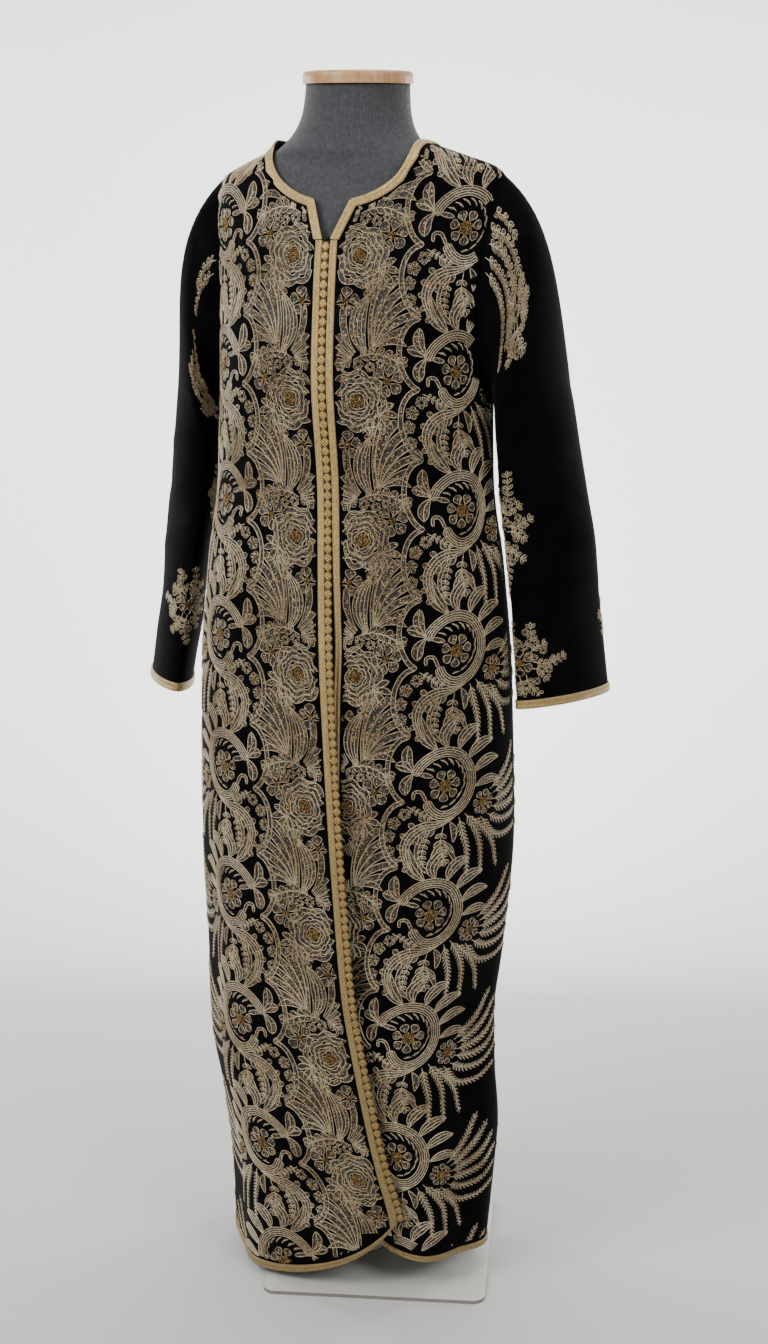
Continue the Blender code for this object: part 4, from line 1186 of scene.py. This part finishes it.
def front_unit(pattern, v):
    """One repeat of a front, round its rose at height v."""
    def at(*points):
        return [(x, y + v) for x, y in points]

    def petals(width, ends, bend=(0, 0), lanes=1, shape="petal"):
        """Short strokes, each from a root to a tip."""
        for x, y, tip_x, tip_y in ends:
            middle = ((x + tip_x) / 2 + bend[0], (y + tip_y) / 2 + bend[1])
            pattern.stroke(at((x, y), middle, (tip_x, tip_y)), width, lanes, shape, 2.2)

    # Beside the placket: a rose, smaller flowers, and a spray of leaves like an oak's
    pattern.rose(42, v, 33.5, turn=0.3 + v)
    pattern.blossom(78, 24 + v, 20, 6, 0.3)
    pattern.blossom(27, -52 + v, 17, 5, 0.2)
    pattern.blossom(16, 42 + v, 9.5, 5, 0.6)
    pattern.blossom(56, -45 + v, 9, 5, 0.1)
    pattern.blossom(92, 40 + v, 7, 5, 0.4)
    for k, feather in enumerate((
        ((60, 64), (62, 96), (72, 124), (88, 143)), ((61, 64), (67, 92), (81, 116), (98, 130)),
        ((62, 64), (71, 87), (86, 104), (104, 115)), ((63, 64), (75, 81), (89, 92), (106, 99)),
        ((64, 63), (77, 73), (89, 79), (101, 83)),
    )):
        pattern.stroke(at(*feather), 11.0 - 0.6 * k, 1, "feather")
    pattern.stroke(at((59, 60), (57, 88), (60, 114), (68, 142)), 5.5, 1)
    pattern.stroke(at((53, 52), (43, 76), (44, 100), (55, 124)), 20, 4, "leaf")
    for k, feather in enumerate((
        ((40, 56), (31, 70), (25, 88), (25, 108)), ((38, 53), (27, 65), (17, 82), (15, 101)),
        ((36, 51), (24, 59), (13, 71), (9, 89)), ((34, 50), (24, 53), (13, 60), (8, 74)),
        ((32, 47), (23, 46), (14, 50), (8, 58)),
    )):
        pattern.stroke(at(*feather), 9.0 - 0.4 * k, 1, "feather")
    pattern.twig(at((38, 48), (52, 54), (70, 54), (90, 46)), 12.5, 8.6, 8.0, 0.62)
    pattern.stroke(at((66, 63), (78, 69), (89, 69), (101, 63)), 9, 1, "leaf")
    pattern.twig(at((12, -14), (9, -24), (8, -34)), 7.5, 6.6, 4.6)
    for x, y, radius in ((29, 45, 7.5), (44, 43, 7), (58, 40, 6.5), (70, 44, 5.5)):
        pattern.blossom(x, y + v, radius, 5, x * 0.4)
    pattern.twig(at((46, -38), (54, -31), (64, -30)), 7, 6.0, 4.4)
    pattern.stroke(at((36, 50), (27, 44), (26, 34), (36, 32), (46, 38)), 3.4, 1)
    petals(8.5, ((66, -15, 85, -3), (66, -15, 89, -18), (66, -15, 82, -33), (66, -15, 71, -40)), (0, 2))
    petals(8, ((57, 124, 46, 142), (57, 124, 56, 148), (57, 124, 68, 152)))

    # Scalloped border: two lines of cord with beads between, two scallops to a repeat
    for foot in (12, 96):
        scallop = ((116, 84), (104, 78), (96, 67), (92, 51), (93, 33), (99, 17), (107, 6), (116, 0))
        pattern.stroke(at(*[(x, y + foot) for x, y in scallop]), 6.4, 1)

    # Side column: a great scroll round a flower, under a crown of leaves
    pattern.stroke(at(
        (125, 47), (134, 61), (150, 72), (168, 74), (186, 66), (198, 49), (201, 29), (194, 10),
        (180, -3), (164, -6), (151, 1), (143, 13),
    ), 12.5, 4)
    pattern.stroke(at((143, 13), (136, 25), (127, 25), (127, 16)), 4.4, 1)
    pattern.blossom(165, 32 + v, 20.5, 7, 0.2, 0.40)
    pattern.bead_disc(165, 32 + v, 8.5)
    petals(3.8, (
        (139, 55, 150, 51), (147, 61, 158, 55), (156, 65, 167, 57), (166, 66, 175, 56),
        (176, 63, 183, 52), (184, 56, 188, 44), (190, 46, 190, 34), (192, 35, 188, 24),
        (189, 24, 182, 14), (182, 13, 173, 7), (172, 6, 162, 4),
    ), (1, 1), 0, "leaf")
    for tip, bend, width in (
        ((115, 84), (115, 67), 14), ((101, 60), (112, 58), 13), ((116, 22), (116, 37), 15),
        ((149, 44), (137, 47), 6.5),
    ):
        pattern.stroke(at((125, 50), bend, tip), width, 2 if width > 8 else 1, "petal", 2.3)
    for leaf, width in (
        (((152, 77), (140, 88), (130, 102), (126, 122)), 17),
        (((165, 79), (159, 93), (165, 106), (177, 118)), 17),
        (((181, 75), (184, 88), (194, 98), (208, 103)), 16),
        (((194, 62), (203, 73), (216, 80), (232, 82)), 15),
        (((203, 44), (214, 53), (228, 58), (244, 57)), 14),
        (((207, 26), (220, 31), (234, 32), (248, 28)), 12),
    ):
        pattern.stroke(at(*leaf), width, 3, "leaf")
    pattern.stroke(at((154, 88), (143, 99), (137, 114), (140, 130), (151, 143)), 5.5, 1)
    petals(6, ((131, 126, 120, 130), (139, 134, 130, 142), (148, 142, 142, 152)))

    # Below the scroll: a long curled leaf, twigs in the gaps, and blossoms behind the border
    long_leaf = at((182, -9), (162, -16), (143, -19), (129, -28), (122, -44), (126, -62), (138, -80))
    pattern.stroke(long_leaf, 13.5, 3, "leaf")
    petals(7.5, (
        (158, -18, 150, -31), (147, -21, 139, -34), (137, -28, 134, -42), (160, -10, 150, -3),
        (146, -13, 136, -5), (134, -21, 124, -14), (126, -34, 115, -28), (123, -47, 112, -43),
        (125, -58, 115, -60), (131, -70, 122, -75),
    ))
    for x, y, radius in ((118, -2, 8), (106, -14, 8.5), (101, -31, 8.5), (103, -50, 8), (110, -64, 7)):
        pattern.blossom(x, y + v, radius, 5, x * 0.7)
    pattern.twig(at((120, 8), (129, 3), (140, -3), (147, -7)), 6.5, 6.0, 3.6)
    pattern.twig(at((149, -27), (147, -38), (144, -50), (145, -62)), 8, 7.0, 4.2)
    pattern.twig(at((168, -19), (166, -34), (168, -48), (172, -62)), 10, 8.0, 5.4)
    pattern.stroke(at((176, -14), (183, -27), (183, -42)), 9, 1, "leaf")
    twigs = ((168, -38, 158, -46), (168, -38, 156, -60), (168, -38, 186, -56), (168, -38, 190, -68))
    petals(6, twigs, (0, 2))

    # Plumes that sweep over the side, and the flower they spring from
    pattern.blossom(222, 4 + v, 16, 7, 0.4, 0.42)
    for k, line in enumerate((
        ((188, -10), (195, -30), (203, -52), (206, -78)),
        ((196, -6), (210, -24), (222, -48), (227, -80)),
        ((206, -12), (226, -30), (243, -50), (252, -76)), ((232, 18), (250, 30), (266, 46), (278, 68)),
        ((238, 12), (258, 20), (278, 34), (293, 54)), ((238, 4), (260, 6), (284, 16), (303, 36)),
        ((236, -4), (260, -8), (286, -2), (308, 16)), ((230, -12), (254, -24), (282, -22), (307, -8)),
        ((220, -14), (244, -40), (272, -44), (301, -33)),
    )):
        pattern.plume(at(*line), 10.5 if 2 < k < 7 else 9.5)


def body_chart(side, reach):
    """A net of points over a front or the back, by width from its edge or middle and by height."""
    under = side == "left"
    heights = np.arange(0.012, PANEL_TOP + 0.004, 0.005)
    widths = np.arange(-reach if side == "back" else 0.0, reach, NET)
    reach_round = np.linspace(0, 2.6, 700) * (1 if under else -1)
    if side == "back":
        reach_round = np.linspace(-1.9, 1.9, 900)
    angles = []
    for height in heights:
        start = math.pi
        if side != "back":
            start = float(angle_at(under_edge_x(height) if under else edge_x(height), height))
        line = start + reach_round
        points = cloth_point(line, np.full_like(line, height), under)
        length = run_along(points)
        if side == "back":
            length = length - np.interp(math.pi, line, length)
        angles.append(np.interp(widths, length, line))
    angles = np.array(angles)
    level = np.broadcast_to(heights[:, None], angles.shape)
    return {
        "points": cloth_skin(angles, level, 0.0, under), "normals": cloth_normal(angles, level, under),
        "angles": angles, "first": widths[0], "rows": heights,
    }


def sleeve_chart(side):
    """A regular net over a sleeve: width from its outer line, forwards, and height above the cuff."""
    outer, normals = (np.flip(grid, 0) for grid in sleeves[side])
    round_again = np.roll(np.arange(SLEEVE_TURNS), SLEEVE_TURNS // 2)
    outer, normals = outer[:, round_again], normals[:, round_again]
    front = outer[:, SLEEVE_TURNS * 3 // 4]
    rows = run_along(front)
    widths = np.arange(-0.20, 0.20, NET)
    points, ways = [], []
    for ring, normal in zip(outer, normals):
        length = run_along(ring)
        length = length - length[SLEEVE_TURNS // 2]
        points.append(np.stack([np.interp(widths, length, ring[:, axis]) for axis in range(3)], 1))
        ways.append(np.stack([np.interp(widths, length, normal[:, axis]) for axis in range(3)], 1))
    half = np.array([np.linalg.norm(np.diff(ring, axis=0), axis=1).sum() / 2 for ring in outer])
    return {
        "points": np.array(points), "normals": np.array(ways), "half": half, "first": widths[0],
        "rows": rows,
    }


def read_chart(chart, values, s, t):
    """The value at width s and height t, between the net's points."""
    values = chart[values]
    rows = chart["rows"]
    row = np.clip(np.interp(t, rows, np.arange(len(rows))), 0, len(rows) - 1.001)
    column = np.clip((s - chart["first"]) / NET, 0, values.shape[1] - 1.001)
    r, c = row.astype(int), column.astype(int)
    up, along = row - r, column - c
    if values.ndim == 3:
        up, along = up[..., None], along[..., None]
    low = values[r, c] * (1 - along) + values[r, c + 1] * along
    high = values[r + 1, c] * (1 - along) + values[r + 1, c + 1] * along
    return low * (1 - up) + high * up


neck_path = cloth_point(neck_angles, neck_heights)


def clear_of_neck(points):
    near = np.full(points.shape[:-1], 1.0)
    for corner in neck_path:
        near = np.minimum(near, ((points - corner) ** 2).sum(-1))
    return near > (NECK_BRAID + BRAID_MARGIN) ** 2


def on_front(side):
    """A test of whether a place is on a front, clear of its braids and seams."""
    sign = 1 if side == "left" else -1
    rows = np.linspace(0.012, PANEL_TOP, 500)
    limits = np.array([front_limits(side, row) for row in rows])
    hem_edge, _ = front_line(side, HEM, [0.0])
    clear = (2 if side == "left" else 1) * BRAID + BRAID_MARGIN

    def test(chart, s, t):
        angle = read_chart(chart, "angles", s, t)
        hem = HEM + HEM_BRAID + BRAID_MARGIN + hem_rise(angle, HEM, angle - hem_edge[0], HEM_RISE[side])
        good = (s > clear) & (t > hem) & (t < PANEL_TOP - 0.001)
        good &= sign * (np.interp(t, rows, limits[:, 1]) - angle) > SEAM_MARGIN
        high = t > NOTCH_FOOT - 0.03
        inside = sign * (angle - np.interp(t, rows, limits[:, 0])) > 0.0
        good[high] &= inside[high] & clear_of_neck(read_chart(chart, "points", s, t)[high])
        return good

    return test


def on_back(chart, s, t):
    angle = read_chart(chart, "angles", s, t)
    rows = np.array(panel_rows())
    good = np.interp(t, rows, back_angles[:, 0]) + SEAM_MARGIN < angle
    good &= np.interp(t, rows, back_angles[:, -1]) - SEAM_MARGIN > angle
    good &= t > HEM + HEM_BRAID + BRAID_MARGIN + hem_rise(angle, HEM)
    good &= t < PANEL_TOP - neck_drop(angle) - 0.002
    high = t > NOTCH_FOOT
    good[high] &= clear_of_neck(read_chart(chart, "points", s, t)[high])
    return good


def on_sleeve(chart, s, t):
    half = np.interp(t, chart["rows"], chart["half"]) - SLEEVE_MARGIN
    return (np.abs(s) < half) & (t > CUFF_BRAID + 0.003) & (t < chart["rows"][-1] - 0.002)


def sew(name, pattern, chart, to_cloth, test):
    """The pattern's cords as one mesh that follows the cloth, with its feet in the pile."""
    across_cloth = chart["points"][0, 1] - chart["points"][0, 0]
    up_cloth = chart["points"][1, 0] - chart["points"][0, 0]
    s, _ = to_cloth(np.array([0.0, 1.0]), np.array([500.0, 500.0]))
    mirrored = (np.dot(np.cross(across_cloth, up_cloth), chart["normals"][0, 0]) < 0) != (s[1] < s[0])
    points, threads, faces, total = [], [], [], 0
    for lanes, strokes in pattern.strokes.items():
        path = np.concatenate([stroke[0] for stroke in strokes])
        half = np.concatenate([stroke[1] for stroke in strokes])
        counts = np.array([len(stroke[0]) for stroke in strokes])
        last = np.zeros(len(path), bool)
        last[np.cumsum(counts) - 1] = True
        first = np.roll(last, 1)
        way = np.concatenate([np.gradient(stroke[0], axis=0) for stroke in strokes])
        way = way / np.maximum(np.linalg.norm(way, axis=1, keepdims=True), 1e-9)
        side = np.stack([-way[:, 1], way[:, 0]], 1)
        run = np.concatenate([
            np.arange(len(line)) * np.linalg.norm(line[1] - line[0]) for line, _ in strokes
        ])
        layer = np.repeat(np.arange(len(strokes)) % LAYERS, counts) * LAYER
        cord = np.minimum(CORD / 2, half / (lanes + 1) * 0.8) if lanes else half
        middles = np.zeros((len(path), 1))
        if lanes:
            middles = np.linspace(-1, 1, lanes + 1)[None] * (half - cord)[:, None]
        across = middles[:, :, None] + cord[:, None, None] * np.array([-1, 0, 1])
        across = across.reshape(len(path), -1)
        lift = np.tile([FILL_HIGH, CORD_HIGH, FILL_HIGH], lanes + 1) + layer[:, None]
        lift[:, [0, -1]] = CORD_FOOT
        flat = path[:, None] + side[:, None] * across[..., None]
        s, t = to_cloth(flat[..., 0], flat[..., 1])
        inside = test(chart, s.ravel(), t.ravel()).reshape(s.shape).all(1)
        joined = inside[:-1] & inside[1:] & ~last[:-1]
        ends = first | last
        ends[1:] |= ~joined
        ends[:-1] |= ~joined
        lift[ends] = np.minimum(lift[ends], CORD_END)
        place = read_chart(chart, "points", s.ravel(), t.ravel())
        place = place + read_chart(chart, "normals", s.ravel(), t.ravel()) * lift.reshape(-1, 1)
        columns = across.shape[1]
        step = np.flatnonzero(joined)
        for k in range(columns - 1):
            low = total + step * columns + k
            corner = np.stack([low, low + columns, low + columns + 1, low + 1], -1)
            # On a cord the second number is its own width, and on the beads it starts from 20
            if k % 3 == 2:
                near, far = 20 + across[:, k], 20 + across[:, k + 1]
            else:
                middle = middles[:, k // 3]
                near, far = (across[:, k] - middle) / CORD, (across[:, k + 1] - middle) / CORD
            thread = np.stack([
                np.stack([run[step], near[step]], -1), np.stack([run[step + 1], near[step + 1]], -1),
                np.stack([run[step + 1], far[step + 1]], -1), np.stack([run[step], far[step]], -1),
            ], 1)
            faces.append(corner[:, ::-1] if mirrored else corner)
            threads.append(thread[:, ::-1] if mirrored else thread)
        points.append(place)
        total += len(place)
    points, faces, threads = np.concatenate(points), np.concatenate(faces), np.concatenate(threads)
    used = np.unique(faces)
    rename = np.zeros(total, int)
    rename[used] = np.arange(len(used))
    mesh = bpy.data.meshes.new(name)
    mesh.from_pydata(points[used].tolist(), [], rename[faces].tolist())
    mesh.uv_layers.new(name="thread").data.foreach_set("uv", threads.ravel())
    return mesh


def sew_beads(name, pattern, chart, to_cloth, test):
    """Small round beads, each with its foot in the velvet."""
    flat = np.concatenate(pattern.beads)
    s, t = to_cloth(flat[:, 0], flat[:, 1])
    good = test(chart, s, t)
    s, t = s[good], t[good]
    centres = read_chart(chart, "points", s, t) + read_chart(chart, "normals", s, t) * BEAD * BEAD_LIFT
    return mesh_of_copies(name, centres[:, None] + bead[None] * BEAD, bead_faces)


bead, bead_faces = primitive(bpy.ops.mesh.primitive_ico_sphere_add, subdivisions=1, radius=1.0)

# Silk-covered cord with a satin gleam on its twist, and dull beads of mixed browns between cords
look = Look("couched_silk_cord", {"Roughness": 0.48})
along, across, _ = look.split(look.add("UVMap", uv_map="thread"))
beaded = look.span(look.calculate("ABSOLUTE", across), 0.32, 0.56, kind="SMOOTHSTEP")
place = look.place()
# Beads sit about 2 mm apart
beads = look.add("TexVoronoi", {"Scale": 500.0, "Randomness": 0.75, "Vector": place}).node.outputs
bead_batch = look.add("SeparateColor", {"Color": beads["Color"]}, "Red")
bead_tone = look.ramp(
    bead_batch, (0.0, "#1C130A"), (0.35, "#5A4224"), (0.6, "#94733F"), (1.0, "#D9BE8C")
)
bead_gap = look.span(beads["Distance"], 0.30, 0.52, kind="SMOOTHSTEP")
bead_tone = look.mix_colours(bead_gap, bead_tone, linear("#0B0704"))
dye = look.noise(place, 14.0, 5.0, Roughness=0.65)
cord_tone = look.ramp(dye, (0.30, "#A08866"), (0.50, "#CDBB9A"), (0.72, "#EADDC2"))
# The twist is 0.8 mm long on the cord, and drawn 1.8 mm long so that it shows
twist = look.calculate("MULTIPLY_ADD", across, 3.0, look.calculate("MULTIPLY", along, math.pi / 1.8))
domes = look.calculate("MULTIPLY", beads["Distance"], -3.0)
rise = look.add("Mix", {0: beaded, 2: look.calculate("SINE", twist), 3: domes}, data_type="FLOAT")
silk = look.finish(look.mix_colours(beaded, cord_tone, bead_tone), rise, 0.6, 0.0004)

# Glass beads: small, round and brown to rust, with a hard point of light on each
look = Look("rust_glass_beads", {"Roughness": 0.25})
mottle = look.noise(look.place(), 420.0, 1.0)
glass = look.finish(
    look.ramp(mottle, (0.30, "#2A1C0D"), (0.46, "#6A4D24"), (0.60, "#9A7A42"), (0.75, "#D2B67C"))
)


def in_metres(x, y):
    return x / 1000, y / 1000


def add_embroidery(name, pattern, chart, to_cloth, test):
    add_piece(name, sew(name, pattern, chart, to_cloth, test), silk, sharp=120)
    if pattern.beads:
        mesh = sew_beads(name + "_beads", pattern, chart, to_cloth, test)
        add_piece(name + "_beads", mesh, glass, sharp=180)


# The pattern on the left front drifts to the placket on the way down, as its edge sinks behind
left_drift = curve_through((
    (1.45, 0.0), (1.0, 0.0), (0.85, 0.009), (0.69, 0.016), (0.52, 0.026), (0.364, 0.055),
    (0.228, 0.090), (0.05, 0.120),
))
front_pattern = Pattern()
for repeat in range(-1, 9):
    front_unit(front_pattern, FIRST_ROSE - REPEAT * repeat)
for x in range(24, 200, 15):
    front_pattern.blossom(x, 29, 7, 5, x * 0.3)
add_embroidery(
    "embroidery_front_right", front_pattern, body_chart("right", 0.345),
    lambda x, y: (x / 1000 - BUTTON_BAND / 2, y / 1000), on_front("right"),
)
add_embroidery(
    "embroidery_front_left", front_pattern, body_chart("left", 0.345),
    lambda x, y: (x / 1000 + BUTTON_BAND / 2 - left_drift(y / 1000), y / 1000), on_front("left"),
)

# The back isn't seen: sprays in rows on plain velvet, plumes from the side seams and a hem border
back_pattern = Pattern()
for repeat in range(8):
    v = FIRST_ROSE - 40 - REPEAT * repeat
    for side in (-1, 1):
        if repeat:
            back_pattern.spray(side * (92 if repeat % 2 else 56), v, 40, 52, turn=0.4 * repeat)
        for tip in ((250, 60), (238, 34), (236, 6), (246, -22)):
            root = np.array([320.0, tip[1] * 0.35 + v + 20])
            middle = (root + (tip[0] + 24, tip[1] + v + 8)) / 2
            line = [root, middle, (tip[0] - 12 * math.sin(repeat), tip[1] + v + 20)]
            back_pattern.plume([(side * x, y) for x, y in line], 9.5)
back_pattern.spray(0, 1350, 78, 60, arms=11, turn=-math.pi / 2)
back_pattern.spray(0, 1238, 46, 62, turn=0.2)
for k in range(-5, 6):
    arch = ((-33, 78), (-25, 94), (-10, 103), (10, 103), (25, 94), (33, 78))
    back_pattern.stroke([(x + 66 * k, y) for x, y in arch], 6.4, 1)
    back_pattern.blossom(66 * k, 66, 17, 6, 0.3 * k)
    back_pattern.twig([(66 * k + 33, 74), (66 * k + 33, 58), (66 * k + 33, 44)], 8, 7.0)
add_embroidery("embroidery_back", back_pattern, body_chart("back", 0.40), in_metres, on_back)

# Sleeves: lozenge sprays at the cuff, the elbow and below the shoulder, and plumes from the armhole
for side, cuff_spray, elbow_spray, head_spray in (
    ("left", (80, 58, 58, 62), (94, 226, 46, 92), (74, 446, 26, 76)),
    ("right", (84, 118, 46, 62), (128, 262, 30, 62), (122, 416, 30, 62)),
):
    sleeve_pattern = Pattern()
    for k, (x, y, wide, high) in enumerate((cuff_spray, elbow_spray, head_spray)):
        sleeve_pattern.spray(x, y, wide, high, arms=11 if k < 2 else 9, turn=0.25 + k, fill=33)
    sleeve_pattern.spray(-96, 96, 42, 52, turn=0.8)
    sleeve_pattern.spray(-110, 330, 38, 60, turn=0.1)
    top = sleeve_chart(side)["rows"][-1] * 1000
    plumes = ((122, 8, 110, 96), (108, 4, 92, 78), (92, 2, 76, 54), (76, -2, 62, 46), (60, -6, 50, 24))
    for x, y, tip_x, tip_y in plumes if side == "left" else ((130, 8, 122, 46), (118, 4, 110, 30)):
        line = [(x, top - y), ((x + tip_x) / 2 - 5, top - (y + tip_y) / 2), (tip_x, top - tip_y)]
        sleeve_pattern.twig(line, 8.0, 6.4, 4.8)
    name = "embroidery_sleeve_" + side
    add_embroidery(name, sleeve_pattern, sleeve_chart(side), in_metres, on_sleeve)


# Studio
# A wide roll of pale paper, square to the camera, is swept up behind the stand in a long curve. Two
# lamps light it from outside the picture and one from behind the garment. Two large soft boxes
# stand high in front, and one hangs overhead.
FLOOR_END, SWEEP, PAPER_TOP, PAPER_REACH = 0.9, 1.5, 6.0, 8.0
bend = np.linspace(0, math.pi / 2, 25)[1:]
line = [(-PAPER_REACH, 0.0), (FLOOR_END, 0.0)]
line += [(FLOOR_END + SWEEP * math.sin(angle), SWEEP * (1 - math.cos(angle))) for angle in bend]
line.append((FLOOR_END + SWEEP, PAPER_TOP))
corners = []
for x in (-PAPER_REACH, PAPER_REACH):
    for y, z in line:
        corners.append((*turned((x, y), camera_turn), z))
count = len(line)
mesh = bpy.data.meshes.new("paper_floor")
mesh.from_pydata(corners, [], [(k, count + k, count + k + 1, k + 1) for k in range(count - 1)])
mesh.shade_smooth()
paper = bpy.data.objects.new("paper_floor", mesh)
bpy.context.scene.collection.objects.link(paper)
# Paper: matt, uncoated and even. It is clear from behind, so that the garment's back can be seen
look = Look("background_paper", {
    "Roughness": 0.9, "Base Color": linear("#D6D6D4"), "Specular IOR Level": 0.1,
})
backfacing = look.add("NewGeometry", out="Backfacing")
to_camera = look.add("LightPath", out="Is Camera Ray")
one_sided = look.add("MixShader", {
    0: look.calculate("MULTIPLY", backfacing, to_camera), 1: look.shader.outputs[0],
    2: look.add("BsdfTransparent"),
})
look.tree.links.new(one_sided, look.tree.nodes["Material Output"].inputs["Surface"])
mesh.materials.append(look.material)

world = bpy.data.worlds.new("studio")
bpy.context.scene.world = world
world.use_nodes = True
background = world.node_tree.nodes["Background"]
background.inputs["Color"].default_value = linear("#F2F2F0")
background.inputs["Strength"].default_value = 0.40


def add_soft_box(name, place, target, size, power):
    """A square soft box that faces a place."""
    light = bpy.data.lights.new(name, "AREA")
    light.shape = "SQUARE"
    light.size = size
    light.energy = power
    box = bpy.data.objects.new(name, light)
    bpy.context.scene.collection.objects.link(box)
    reach = np.array(target) - np.array(place)
    box.location = place
    tip = math.atan2(math.hypot(reach[0], reach[1]), -reach[2])
    box.rotation_euler = (tip, 0, math.atan2(reach[1], reach[0]) - math.pi / 2)


add_soft_box("soft_box_left", (-1.7, -2.4, 3.0), (0, 0, 1.3), 1.6, 86)
add_soft_box("soft_box_right", (2.5, -1.6, 2.7), (0, 0, 1.2), 1.4, 44)
add_soft_box("soft_box_top", (0.1, 0.4, 3.3), (0, 0, 1.2), 1.6, 30)
add_soft_box("paper_lamp_left", (-2.35, 0.75, 1.2), (-0.8, 2.35, 1.2), 0.8, 50)
add_soft_box("paper_lamp_right", (1.35, 2.0, 1.2), (-0.6, 2.35, 1.2), 0.8, 50)
add_soft_box("paper_lamp_behind", (-0.2, 0.75, 1.1), (-0.75, 2.35, 1.2), 0.5, 70)
